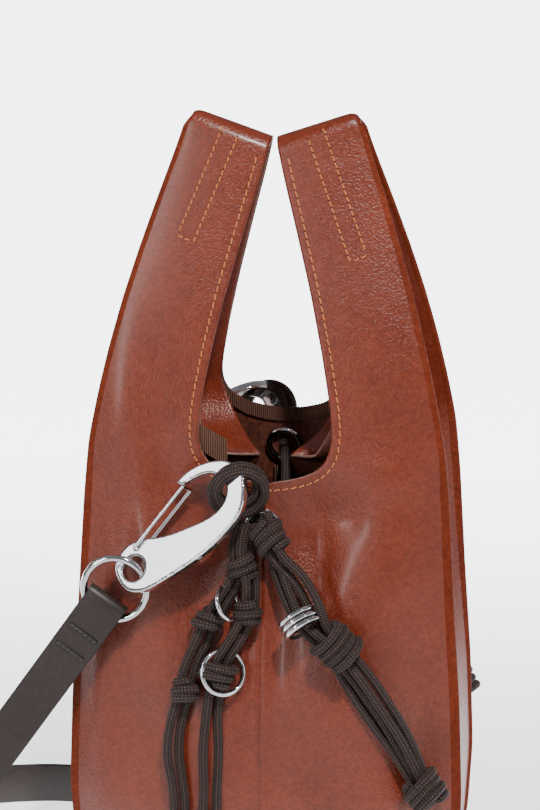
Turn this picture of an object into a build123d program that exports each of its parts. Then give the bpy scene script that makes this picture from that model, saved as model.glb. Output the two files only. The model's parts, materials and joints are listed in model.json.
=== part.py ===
from build123d import *
from math import cos, pi, radians, sin, tan
import os

# Soft leather tote: two leather halves with folded side gussets, two looped handles, knotted cord
# tassels, snap hooks, rings and a shoulder strap. Millimetres, front towards -Y, base on Z = 0.
os.makedirs("parts", exist_ok=True)

# Body: height, half width at the fold, depth of the panel at the seam, depth of the fold, crease x
BODY_LEVELS = [
    (0.0, 98.0, 56.0, 40.0, 97.0),
    (56.0, 102.5, 60.0, 41.0, 98.0),
    (108.0, 100.5, 57.0, 40.0, 80.0),
    (159.0, 96.8, 50.0, 38.0, 50.0),
    (211.0, 93.7, 42.0, 36.0, 18.0),
    (244.0, 90.8, 39.0, 34.0, 8.0),
]
WALL = 2.0
SPLIT_Z = 230.0
FRONT_RIM_Z = 223.0
BACK_RIM_Z = 240.0
NECK_HALF_WIDTH = 31.5
BASE_CLEARANCE = 0.3
BASE_THICKNESS = 2.0
TAPE_HALF_WIDTH = 6.0
TAPE_THICKNESS = 0.8
TAPE_CLEARANCE = 1.0
RIBBON_HEIGHT = 7.0
NECK_CURVE = [(14.0, 0.8), (25.0, 3.2)]
CUT_DEPTH = 100.0
CUT_HEIGHT = 40.0
FRONT_FOLD_Y = 25.0

# Handles: three layers of one strap, folded over a top that rises towards the outer corner
HANDLE_LEATHER = 1.3
CORE_THICKNESS = 0.8
LAYER_GAP = 0.1
HANDLE_TOP_AT_CENTRE = 392.6
HANDLE_TOP_SLOPE = 0.32
HANDLE_FOLD_RADIUS = 6.5
HANDLE_REACH = 115.0
HANDLE_FOOT = (39.5, 222.0)
HANDLE_SHOULDER = (23.5, 312.0)
HANDLE_START = 180.0
CORE_WIDTH = 8.8
CORE_TOP = (18.8, 404.7)
CORE_END = (42.6, 342.4)

# Grommets
GROMMET_RADIUS = 10.0
GROMMET_BORE = 6.5
GROMMET_BARREL = 7.1
FLANGE_THICKNESS = 1.3
FLANGE_LIFT = 0.25
FLANGE_ROUNDING = 0.5
BARREL_REACH = 1.2
WASHER_RADIUS = 9.2
WASHER_THICKNESS = 0.8
BORE_CLEARANCE = 0.1
FRONT_GROMMET_Z = 199.0
BACK_GROMMET_Z = 221.0

# Snap hook, drawn flat in its own plane: x along the hook, y from the spine towards the nose
HOOK_CENTRE = (-40.0, -61.4, 200.0)
HOOK_SLOPE = 40.0
HOOK_ROLL = 38.0
HOOK_THICKNESS = 4.8
HOOK_OUTER = [
    (12.2, 23.5), (18.5, 24.7), (32.6, 21.6), (42.5, 14.0), (45.6, 5.0), (43.6, -1.0), (38.0, -9.7),
    (21.5, -16.9), (1.9, -18.4), (-18.2, -16.8), (-32.4, -13.5), (-37.9, -8.8), (-39.6, -2.0),
    (-38.6, 5.5), (-33.5, 10.4),
]
HOOK_INNER = [
    (-33.5, 10.4), (-26.5, 11.8), (-20.0, 10.4), (-11.0, 5.4), (9.0, -1.9), (27.0, -3.5), (33.5, 1.0),
    (35.0, 8.0), (31.5, 15.0), (24.0, 18.8), (14.0, 20.3),
]
EYE_CENTRE = (-29.5, -1.0)
EYE_RADIUS = 6.6
GATE_PIVOT = (-23.0, 7.5)
GATE_TIP = (15.0, 18.3)
GATE_WIRE = 1.0
GATE_HALF_WIDTH = 3.9
PIVOT_CLEARANCE = 0.08
BACK_LIFT = 14.0

# Ring and strap
RING_CENTRE = (-72.7, -62.0, 169.8)
RING_RADIUS = 16.2
RING_WIRE = 1.8
STRAP_WIDTH = 22.0
STRAP_THICKNESS = 3.0
STRAP_LAYER = 1.4
STRAP_FOLD_DISTANCE = 5.5
STRAP_POCKET = 4.4
STRAP_POCKET_END = 19.0
STRAP_TAPER_END = 31.0
STRAP_ANGLES = {-1: 55.0, 1: 88.0}
STRAP_BEND_RADII = {-1: 80.0, 1: 45.0}
STRAP_TURN_STEPS = 14
STRAP_TURN = [(-160.0, 55.0), (-215.0, 30.0), (-255.0, -12.0), (-256.0, -48.0)]

# Cords
CORD_RADIUS = 2.4
LOOP_CENTRE = (-11.4, -54.0, 222.0)
LOOP_RADIUS = 11.5
LOOP_SECTION = 5.0
LOOP_TILT = -20.0

CORD_ROUTES = {
    "right_cord_1": [(4, -54, 212), (6, -58, 199), (13, -59, 188), (23, -61, 181), (31, -63, 167),
                     (35, -65, 155), (44, -66, 146), (56, -65, 133), (67, -64, 116), (76, -62, 100),
                     (83, -62, 84), (87, -62, 72)],
    "right_cord_2": [(1, -52, 208), (2, -56, 196), (9, -56, 184), (18, -58, 177), (26, -60, 163),
                     (31, -61, 150), (37, -62, 139), (44, -62, 125), (55, -62, 108), (66, -60, 92),
                     (76, -60, 77), (82, -61, 66)],
    "right_cord_3": [(8, -50, 207), (10, -54, 194), (11, -56, 182), (15, -58, 172), (21, -62, 159),
                     (30, -65, 151), (41, -68, 145), (52, -68, 131), (63, -67, 114), (73, -65, 98),
                     (81, -65, 82), (86, -64, 70)],
    "right_cord_4": [(5, -49, 204), (5, -52, 192), (7, -53, 180), (11, -55, 170), (18, -60, 157),
                     (26, -61, 148), (38, -64, 142), (48, -63, 128), (60, -63, 112), (70, -61, 94),
                     (79, -61, 79), (84, -61, 67)],
    "left_cord_1": [(-11, -50, 205), (-15, -53, 193), (-12, -55, 181), (-19, -58, 168), (-27, -60, 156),
                    (-32, -62, 143), (-38, -64, 130), (-40, -65, 116), (-45, -65, 100), (-47, -65, 82),
                    (-43, -66, 64), (-43, -67, 46), (-41, -67, 31)],
    "left_cord_2": [(-6, -50, 204), (-10, -54, 193), (-7, -54, 182), (-14, -54, 167), (-22, -56, 154),
                    (-27, -58, 141), (-33, -60, 129), (-35, -62, 115), (-40, -62, 99), (-41, -63, 82),
                    (-38, -64, 65), (-37, -65, 47), (-39, -66, 31)],
    "left_cord_3": [(-9, -47, 203), (-11, -57, 192), (-7, -59, 180), (-6, -59, 169), (-8, -60, 158),
                    (-14, -62, 146), (-21, -65, 135), (-24, -66, 121), (-26, -65, 105), (-28, -66, 86),
                    (-27, -67, 66), (-28, -68, 48), (-25, -68, 32)],
    "left_cord_4": [(-4, -46, 203), (-6, -52, 192), (-4, -54, 181), (-2, -54, 170), (-3, -56, 158),
                    (-8, -58, 146), (-16, -61, 134), (-19, -62, 121), (-21, -62, 105), (-20, -63, 86),
                    (-21, -64, 66), (-21, -66, 48), (-23, -67, 32)],
    "back_cord_1": [(3, 49, 224), (8, 53, 212), (18, 56, 200), (32, 58, 186), (47, 60, 170),
                    (60, 61, 153), (72, 60, 136), (82, 58, 119), (90, 57, 103), (96, 55, 88)],
    "back_cord_2": [(-1, 47, 221), (4, 51, 208), (14, 53, 196), (28, 55, 181), (42, 58, 165),
                    (55, 59, 148), (67, 58, 131), (77, 56, 114), (85, 55, 99), (92, 54, 84)],
    "back_cord_3": [(-9, 48, 216), (-9, 52, 203), (-12, 55, 190), (-18, 58, 174), (-22, 61, 156),
                    (-24, 63, 138), (-27, 65, 118), (-26, 67, 98), (-28, 69, 78), (-28, 70, 59)],
    "back_cord_4": [(-14, 48, 217), (-15, 51, 204), (-17, 53, 190), (-23, 56, 174), (-28, 58, 156),
                    (-30, 61, 138), (-33, 63, 118), (-32, 65, 98), (-34, 67, 78), (-32, 69, 59)],
    "inner_cord": [(-1, -44, 199), (-1, -34, 198), (-3, -18, 193), (1, 0, 191), (3, 18, 201),
                   (1, 31, 217), (0, 43, 221)],
}

# Knots: centre, axis, radius, length
KNOTS = {
    "right_upper_knot": ((5.3, -56.0, 198.0), (0.45, -0.1, -0.88), 8.8, 16.0),
    "right_middle_knot": ((40.0, -65.5, 146.0), (0.72, 0.0, -0.69), 11.5, 19.0),
    "right_end_knot": ((85.5, -62.5, 69.0), (0.6, 0.0, -0.8), 11.5, 19.0),
    "left_upper_knot": ((-8.5, -55.5, 181.5), (0.1, 0.0, -1.0), 8.0, 12.0),
    "left_outer_knot_1": ((-25.5, -59.5, 154.5), (-0.5, -0.1, -0.86), 7.5, 12.0),
    "left_inner_knot_1": ((-5.5, -59.0, 159.0), (-0.3, 0.0, -0.95), 7.5, 11.0),
    "left_outer_knot_2": ((-37.0, -64.5, 118.0), (-0.3, -0.1, -0.95), 7.5, 12.0),
    "left_inner_knot_2": ((-20.5, -64.5, 128.0), (-0.4, -0.2, -0.9), 9.0, 14.0),
    "left_outer_tail_knot": ((-40.0, -67.5, 29.0), (0.1, 0.0, -1.0), 8.0, 14.0),
    "left_inner_tail_knot": ((-23.5, -67.5, 30.0), (-0.1, 0.0, -1.0), 8.0, 14.0),
    "back_upper_knot": ((2.0, 54.0, 208.0), (0.5, 0.1, -0.86), 8.8, 15.0),
    "back_right_knot": ((57.0, 60.0, 151.0), (0.6, 0.0, -0.8), 9.0, 15.0),
    "back_right_end_knot": ((94.0, 55.5, 85.0), (0.5, -0.1, -0.86), 9.5, 16.0),
    "back_left_end_knot": ((-30.0, 69.8, 57.0), (0.0, 0.0, -1.0), 9.0, 15.0),
}
COIL_RING_RADIUS = 9.6
COIL_RING_WIRE = 1.3
COIL_RING_CENTRE = (21.9, -64.3, 156.8)
COIL_RING_AXIS = (0.55, -0.45, -0.7)
COIL_RING_PITCH = 3.2
LOOSE_RINGS = {
    "tassel_ring_small": ((-15.5, -61.0, 164.5), (0.85, -0.35, 0.4), 8.5, 1.2),
    "tassel_ring_large": ((-17.5, -64.0, 128.5), (0.5, -0.8, 0.3), 11.2, 1.3),
}
SIDES = {"left": -1, "right": 1}
FACES = {"front": -1, "back": 1}


def save(part, name):
    """Label a finished piece and write it."""
    part.label = name
    export_step(part, f"parts/{name}.step")


def panel_depth(height):
    """Depth of the front or back panel at the seam, straight between the body's levels."""
    for low, high in zip(BODY_LEVELS, BODY_LEVELS[1:]):
        if height <= high[0]:
            share = (height - low[0]) / (high[0] - low[0])
            return low[2] + share * (high[2] - low[2])
    return BODY_LEVELS[-1][2]


def half_outline(level):
    """Right half of the body's section, from the front seam round the gusset to the back seam."""
    _, width, depth, fold, crease = level
    front = [
        (0.0, -depth),
        (0.45 * width, 0.5 - depth),
        (0.8 * width, -0.55 * fold - 0.45 * depth),
        (width, -fold),
    ]
    back = [(x, -y) for x, y in reversed(front)]
    return front + [(crease, 0.0)] + back


def inset(points, distance):
    """Points moved inwards by one wall, with mitred corners and square ends at the seam."""
    moved = []
    for index, point in enumerate(points):
        here = Vector(*point)
        before = Vector(*points[index - 1]) if index > 0 else here - Vector(1, 0)
        after = Vector(*points[index + 1]) if index < len(points) - 1 else here + Vector(-1, 0)
        normal_in = (here - before).normalized().rotate(Axis.Z, 90)
        normal_out = (after - here).normalized().rotate(Axis.Z, 90)
        mitre = (normal_in + normal_out).normalized()
        shifted = here + mitre * (distance / mitre.dot(normal_in))
        moved.append((max(shifted.X, 0.0), shifted.Y))
    moved[0] = (0.0, points[0][1] + distance)
    moved[-1] = (0.0, points[-1][1] - distance)
    return moved


def seam_plane(face, height, lift=0.0):
    """Plane on the outside of the front or back panel at the seam, facing outwards."""
    step = 5.0
    slope = (panel_depth(height - step) - panel_depth(height + step)) / (2 * step)
    outside = Plane(origin=(0, face * panel_depth(height), height), x_dir=(1, 0, 0), z_dir=(0, face, slope))
    return outside.offset(lift)


# ---- Leather halves, each one piece of leather round its own side ----
for side_name, side in SIDES.items():
    with BuildPart() as half:
        for level in BODY_LEVELS:
            outside = half_outline(level)
            ring = outside + list(reversed(inset(outside, WALL)))
            with BuildSketch(Plane.XY.offset(level[0])):
                Polygon(*[(side * x, y) for x, y in ring], align=None)
        loft(ruled=True)
        outer_width = BODY_LEVELS[0][1] - NECK_HALF_WIDTH + CUT_HEIGHT
        with BuildSketch(Plane.XZ):
            with Locations((side * (NECK_HALF_WIDTH + outer_width / 2), SPLIT_Z + CUT_HEIGHT / 2)):
                Rectangle(outer_width, CUT_HEIGHT)
        extrude(amount=CUT_DEPTH, both=True, mode=Mode.SUBTRACT)
        for rim, toward in ((SPLIT_Z, 1), (BACK_RIM_Z, -1)):
            with BuildSketch(Plane.XZ.offset(-FRONT_FOLD_Y)):
                with Locations((0.0, rim + CUT_HEIGHT / 2)):
                    Rectangle(2 * outer_width, CUT_HEIGHT)
            extrude(amount=toward * (FRONT_FOLD_Y + CUT_DEPTH), mode=Mode.SUBTRACT)
        with BuildSketch(Plane.XZ.offset(FRONT_FOLD_Y)):
            with BuildLine():
                Polyline((0, SPLIT_Z + 1), (0, FRONT_RIM_Z),
                         *[(side * x, FRONT_RIM_Z + rise) for x, rise in NECK_CURVE],
                         (side * NECK_HALF_WIDTH, SPLIT_Z + 1), close=True)
            make_face()
        extrude(amount=CUT_DEPTH, mode=Mode.SUBTRACT)
        for face, height in ((-1, FRONT_GROMMET_Z), (1, BACK_GROMMET_Z)):
            with BuildSketch(seam_plane(face, height)):
                Circle(GROMMET_BARREL + BORE_CLEARANCE)
            extrude(amount=2 * WALL, both=True, mode=Mode.SUBTRACT)
    save(half.part, f"{side_name}_half")

# ---- Base: leather panel and the stiff board on it, both inside the walls ----
base_half = inset(half_outline(BODY_LEVELS[0]), WALL + BASE_CLEARANCE)
base_outline = base_half + [(-x, y) for x, y in reversed(base_half[1:-1])]
for name, bottom in {"base_panel": 0.0, "base_board": BASE_THICKNESS + LAYER_GAP}.items():
    with BuildPart() as base:
        with BuildSketch(Plane.XY.offset(bottom)):
            Polygon(*base_outline, align=None)
        extrude(amount=BASE_THICKNESS)
    save(base.part, name)

# ---- Strips that follow the inside of a panel at the seam ----
STRIPS = {
    "front_seam_tape": (-1, TAPE_HALF_WIDTH, [8.0, 56.0, 108.0, 159.0, 186.0]),
    "back_seam_tape": (1, TAPE_HALF_WIDTH, [8.0, 56.0, 108.0, 159.0, 208.0]),
    "neck_ribbon": (1, NECK_HALF_WIDTH - 2.0, [BACK_RIM_Z - RIBBON_HEIGHT, BACK_RIM_Z]),
}
for name, (face, half_width, heights) in STRIPS.items():
    with BuildPart() as strip:
        for height in heights:
            middle = face * (panel_depth(height) - WALL - TAPE_CLEARANCE - TAPE_THICKNESS / 2)
            with BuildSketch(Plane.XY.offset(height)):
                with Locations((0, middle)):
                    Rectangle(2 * half_width, TAPE_THICKNESS)
        loft(ruled=True)
    save(strip.part, name)

# ---- Handles: strap, reinforcement strip and facing share one side profile ----
CORE_INSET = HANDLE_LEATHER + LAYER_GAP
FACING_INSET = CORE_INSET + CORE_THICKNESS + LAYER_GAP
HANDLE_LAYERS = {
    "handle": (0.0, HANDLE_LEATHER),
    "handle_core": (CORE_INSET, CORE_THICKNESS),
    "handle_facing": (FACING_INSET, HANDLE_LEATHER),
}
OUTER_EDGE = [(92.2, 230.4), (86.6, 263), (75.0, 311), (59.2, 360), (51.0, 384), (43.0, 410)]
INNER_EDGE = [(1.0, 410), (1.2, 393), (6.5, 371), (13, 348), (21.5, 317), (28, 289), (32.8, 262),
              (34, 244), (32.5, 230.4)]


def profile_face(depth_inset):
    """Side profile of a handle: two straps that meet in a round fold at the top."""
    fold = HANDLE_FOLD_RADIUS - depth_inset
    top = HANDLE_TOP_AT_CENTRE - HANDLE_FOLD_RADIUS
    foot = HANDLE_FOOT[0] - depth_inset
    shoulder = HANDLE_SHOULDER[0] - depth_inset
    with BuildSketch(Plane.YZ) as face:
        with BuildLine():
            Spline((-foot, HANDLE_START), (-foot, HANDLE_FOOT[1]), (-shoulder, HANDLE_SHOULDER[1]),
                   (-fold, top), tangents=((0, 1), (0, 1)))
            ThreePointArc((-fold, top), (0, top + fold), (fold, top))
            Spline((fold, top), (shoulder, HANDLE_SHOULDER[1]), (foot, HANDLE_FOOT[1]),
                   (foot, HANDLE_START), tangents=((0, -1), (0, -1)))
            Line((foot, HANDLE_START), (-foot, HANDLE_START))
        make_face()
    return face.sketch


for side_name, side in SIDES.items():
    for layer_name, (depth_inset, thickness) in HANDLE_LAYERS.items():
        outer_face = profile_face(depth_inset)
        inner_face = profile_face(depth_inset + thickness)
        rise = Vector(side, 0, HANDLE_TOP_SLOPE)
        with BuildPart() as handle:
            extrude(outer_face, amount=HANDLE_REACH, dir=rise)
            extrude(inner_face, amount=HANDLE_REACH, dir=rise, mode=Mode.SUBTRACT)
            with BuildSketch(Plane.XZ):
                if layer_name == "handle_core":
                    across = Vector(CORE_END[1] - CORE_TOP[1], CORE_TOP[0] - CORE_END[0]).normalized()
                    shift = across * (CORE_WIDTH / 2)
                    corners = [Vector(*CORE_TOP) + shift, Vector(*CORE_TOP) - shift,
                               Vector(*CORE_END) - shift, Vector(*CORE_END) + shift]
                    Polygon(*[(side * corner.X, corner.Y) for corner in corners], align=None)
                else:
                    with BuildLine():
                        outer = Spline(*[(side * x, z) for x, z in OUTER_EDGE])
                        inner = Spline(*[(side * x, z) for x, z in INNER_EDGE])
                        Line(outer @ 1, inner @ 0)
                        Line(inner @ 1, outer @ 0)
                    make_face()
            extrude(amount=CUT_DEPTH, both=True, mode=Mode.INTERSECT)
        save(handle.part, f"{side_name}_{layer_name}")

# ---- Grommets and their washers ----
for face_name, face in FACES.items():
    height = FRONT_GROMMET_Z if face < 0 else BACK_GROMMET_Z
    with BuildPart(seam_plane(face, height, FLANGE_LIFT)) as grommet:
        Cylinder(GROMMET_RADIUS, FLANGE_THICKNESS, align=(Align.CENTER, Align.CENTER, Align.MIN))
        Cylinder(GROMMET_BARREL, WALL + BARREL_REACH, align=(Align.CENTER, Align.CENTER, Align.MAX))
        Hole(GROMMET_BORE)
        fillet(grommet.edges().filter_by(GeomType.CIRCLE).sort_by(SortBy.RADIUS)[-2:], FLANGE_ROUNDING)
    save(grommet.part, f"{face_name}_grommet")
    with BuildPart(seam_plane(face, height, -WALL - LAYER_GAP)) as washer:
        Cylinder(WASHER_RADIUS, WASHER_THICKNESS, align=(Align.CENTER, Align.CENTER, Align.MAX))
        Hole(GROMMET_BARREL + BORE_CLEARANCE / 2)
    save(washer.part, f"{face_name}_grommet_washer")


# ---- Hooks, gates and rings: the back set mirrors the front one and sits a little higher ----
def placed(point, face):
    """A point of the front hardware, or its mirror image on the back."""
    x, y, z = point
    return (x, -face * y, z + (BACK_LIFT if face > 0 else 0.0))


def hook_plane(face):
    """The hook's own plane: x along the hook, y from the spine to the nose, which leans back."""
    along = Vector(cos(radians(HOOK_SLOPE)), 0, sin(radians(HOOK_SLOPE)))
    upright = Vector(-sin(radians(HOOK_SLOPE)), 0, cos(radians(HOOK_SLOPE)))
    across = upright * cos(radians(HOOK_ROLL)) + Vector(0, -face * sin(radians(HOOK_ROLL)), 0)
    return Plane(origin=placed(HOOK_CENTRE, face), x_dir=along, z_dir=along.cross(across))


def rod(start, end, radius):
    """A straight length of wire between two points."""
    path = end - start
    with BuildPart() as wire:
        with BuildSketch(Plane(origin=start, z_dir=path)):
            Circle(radius)
        extrude(amount=path.length)
        for tip in (start, end):
            with Locations(tip):
                Sphere(radius)
    return wire.part


for face_name, face in FACES.items():
    plane = hook_plane(face)
    with BuildPart() as hook:
        with BuildSketch(plane):
            with BuildLine():
                outer = Spline(*HOOK_OUTER)
                inner = Spline(*HOOK_INNER)
                Line(inner @ 1, outer @ 0)
            make_face()
        extrude(amount=HOOK_THICKNESS / 2, both=True)
        with BuildSketch(plane):
            with Locations(EYE_CENTRE):
                Circle(EYE_RADIUS)
            with Locations(GATE_PIVOT):
                Circle(GATE_WIRE + PIVOT_CLEARANCE)
        extrude(amount=HOOK_THICKNESS, both=True, mode=Mode.SUBTRACT)
    save(hook.part, f"{face_name}_hook")

    corners = []
    for (x, y), height in ((GATE_PIVOT, 1), (GATE_TIP, 1), (GATE_TIP, -1), (GATE_PIVOT, -1), (GATE_PIVOT, 1)):
        corners.append(plane.from_local_coords(Vector(x, y, height * GATE_HALF_WIDTH)))
    wires = [rod(start, end, GATE_WIRE) for start, end in zip(corners, corners[1:])]
    with BuildPart() as gate:
        add(wires)
    save(gate.part, f"{face_name}_hook_gate")

    with BuildPart(Plane(origin=placed(RING_CENTRE, face), z_dir=(0, face, 0))) as ring:
        Torus(RING_RADIUS, RING_WIRE)
    save(ring.part, f"{face_name}_ring")

# ---- Shoulder strap: a fold round each ring, a run down to the ground, then on edge round a turn ----
def strap_heading(face):
    """Which way the strap leaves its ring."""
    angle = radians(STRAP_ANGLES[face])
    return Vector(-cos(angle), 0, -sin(angle))


def strap_end_lengths(face):
    """One end's ring, the length of its straight run and the place where it turns level."""
    ring = Vector(*placed(RING_CENTRE, face))
    angle, radius = radians(STRAP_ANGLES[face]), STRAP_BEND_RADII[face]
    bend_height = STRAP_WIDTH / 2 + radius * (1 - cos(angle))
    length = (ring.Z - bend_height) / sin(angle)
    bend_start = ring + strap_heading(face) * length
    return ring, length, bend_start.X - radius * sin(angle)


def strap_end(face):
    """One end of the strap: the fold round the ring, the straight run and the bend to level."""
    ring, length, level_x = strap_end_lengths(face)
    angle, radius = STRAP_ANGLES[face], STRAP_BEND_RADII[face]
    heading = strap_heading(face)
    side_plane = Plane(origin=ring, x_dir=heading, z_dir=heading.cross(Vector(0, 1, 0)))
    half = STRAP_POCKET / 2 + STRAP_LAYER
    with BuildPart() as end:
        with BuildSketch(side_plane):
            with BuildLine():
                Polyline((STRAP_FOLD_DISTANCE + half, half), (STRAP_POCKET_END, half),
                         (STRAP_TAPER_END, STRAP_THICKNESS / 2), (length, STRAP_THICKNESS / 2),
                         (length, -STRAP_THICKNESS / 2), (STRAP_TAPER_END, -STRAP_THICKNESS / 2),
                         (STRAP_POCKET_END, -half), (STRAP_FOLD_DISTANCE + half, -half))
                ThreePointArc((STRAP_FOLD_DISTANCE + half, -half), (STRAP_FOLD_DISTANCE, 0),
                              (STRAP_FOLD_DISTANCE + half, half))
            make_face()
            with Locations((STRAP_FOLD_DISTANCE + half, 0)):
                Circle(STRAP_POCKET / 2, mode=Mode.SUBTRACT)
            with Locations(((STRAP_FOLD_DISTANCE + half + STRAP_POCKET_END) / 2, 0)):
                Rectangle(STRAP_POCKET_END - STRAP_FOLD_DISTANCE - half, STRAP_POCKET, mode=Mode.SUBTRACT)
        extrude(amount=STRAP_WIDTH / 2, both=True)
        centre = (level_x, STRAP_WIDTH / 2 + radius)
        with BuildSketch(Plane.XZ.offset(-ring.Y)):
            with BuildLine():
                CenterArc(centre, radius - STRAP_WIDTH / 2, -90, angle)
                CenterArc(centre, radius + STRAP_WIDTH / 2, -90, angle)
                for turned in (0, angle):
                    outwards = Vector(sin(radians(turned)), -cos(radians(turned)))
                    Line(Vector(*centre) + outwards * (radius - STRAP_WIDTH / 2),
                         Vector(*centre) + outwards * (radius + STRAP_WIDTH / 2))
            make_face()
        extrude(amount=STRAP_THICKNESS / 2, both=True)
    return end.part


front_ring, _, front_level = strap_end_lengths(-1)
back_ring, _, back_level = strap_end_lengths(1)
strap_ends = [strap_end(-1), strap_end(1)]
strap_line = Spline((back_level, back_ring.Y), *STRAP_TURN, (front_level, front_ring.Y),
                    tangents=((-1, 0), (1, 0)))
edges = []
for side in (-1, 1):
    aside = [strap_line @ (step / STRAP_TURN_STEPS)
             + (strap_line % (step / STRAP_TURN_STEPS)).rotate(Axis.Z, 90) * (side * STRAP_THICKNESS / 2)
             for step in range(STRAP_TURN_STEPS + 1)]
    edges.append(aside)
with BuildPart() as strap:
    add(strap_ends)
    with BuildSketch(Plane.XY):
        with BuildLine():
            for aside in edges:
                Spline(*aside, tangents=((-1, 0), (1, 0)))
            Line(edges[0][0], edges[1][0])
            Line(edges[0][-1], edges[1][-1])
        make_face()
    extrude(amount=STRAP_WIDTH)
save(strap.part, "shoulder_strap")


# ---- Cords ----
def bend_radii(points):
    """Largest round bend that the two runs beside each corner allow."""
    radii = []
    for before, here, after in zip(points, points[1:], points[2:]):
        run_in = Vector(*here) - Vector(*before)
        run_out = Vector(*after) - Vector(*here)
        half_turn = radians(run_in.get_angle(run_out)) / 2
        radii.append(0.45 * min(run_in.length, run_out.length) / tan(half_turn))
    return radii


for name, route in CORD_ROUTES.items():
    radii = bend_radii(route)
    with BuildPart() as cord:
        with BuildLine() as path:
            FilletPolyline(*route, radius=radii)
        with BuildSketch(Plane(origin=path.line @ 0, z_dir=path.line % 0)):
            Circle(CORD_RADIUS)
        sweep()
    save(cord.part, name)
    length = sum(edge.length for edge in path.edges())
    share = cord.part.volume / (pi * CORD_RADIUS**2 * length)
    print(f"{name}: {length:.0f} mm, bends {[round(radius) for radius in radii]}, volume share {share:.3f}")

# ---- Cord loops that hang the hooks on the grommets ----
for face_name, face in FACES.items():
    tilt = radians(LOOP_TILT)
    normal = (-sin(radians(HOOK_SLOPE)) * sin(tilt), face * cos(tilt), cos(radians(HOOK_SLOPE)) * sin(tilt))
    with BuildPart(Plane(origin=placed(LOOP_CENTRE, face), z_dir=normal)) as loop:
        Torus(LOOP_RADIUS, LOOP_SECTION)
    save(loop.part, f"{face_name}_cord_loop")

# ---- Knots, each a closed bundle of cord ----
for name, (centre, axis, radius, length) in KNOTS.items():
    with BuildPart(Plane(origin=centre, z_dir=axis)) as knot:
        Cylinder(radius, length)
        fillet(knot.edges().filter_by(GeomType.CIRCLE), 0.42 * min(radius, length))
    save(knot.part, name)

# ---- Metal rings on the tassels ----
coil_axis = Vector(*COIL_RING_AXIS).normalized()
with BuildPart() as coil_rings:
    for turn in (-1, 0, 1):
        with Locations(Plane(origin=Vector(*COIL_RING_CENTRE) + coil_axis * (turn * COIL_RING_PITCH),
                             z_dir=coil_axis)):
            Torus(COIL_RING_RADIUS, COIL_RING_WIRE)
save(coil_rings.part, "coil_rings")
for name, (centre, axis, radius, wire) in LOOSE_RINGS.items():
    with BuildPart(Plane(origin=centre, z_dir=axis)) as loose_ring:
        Torus(radius, wire)
    save(loose_ring.part, name)
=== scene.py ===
import json
import math
import random

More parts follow.
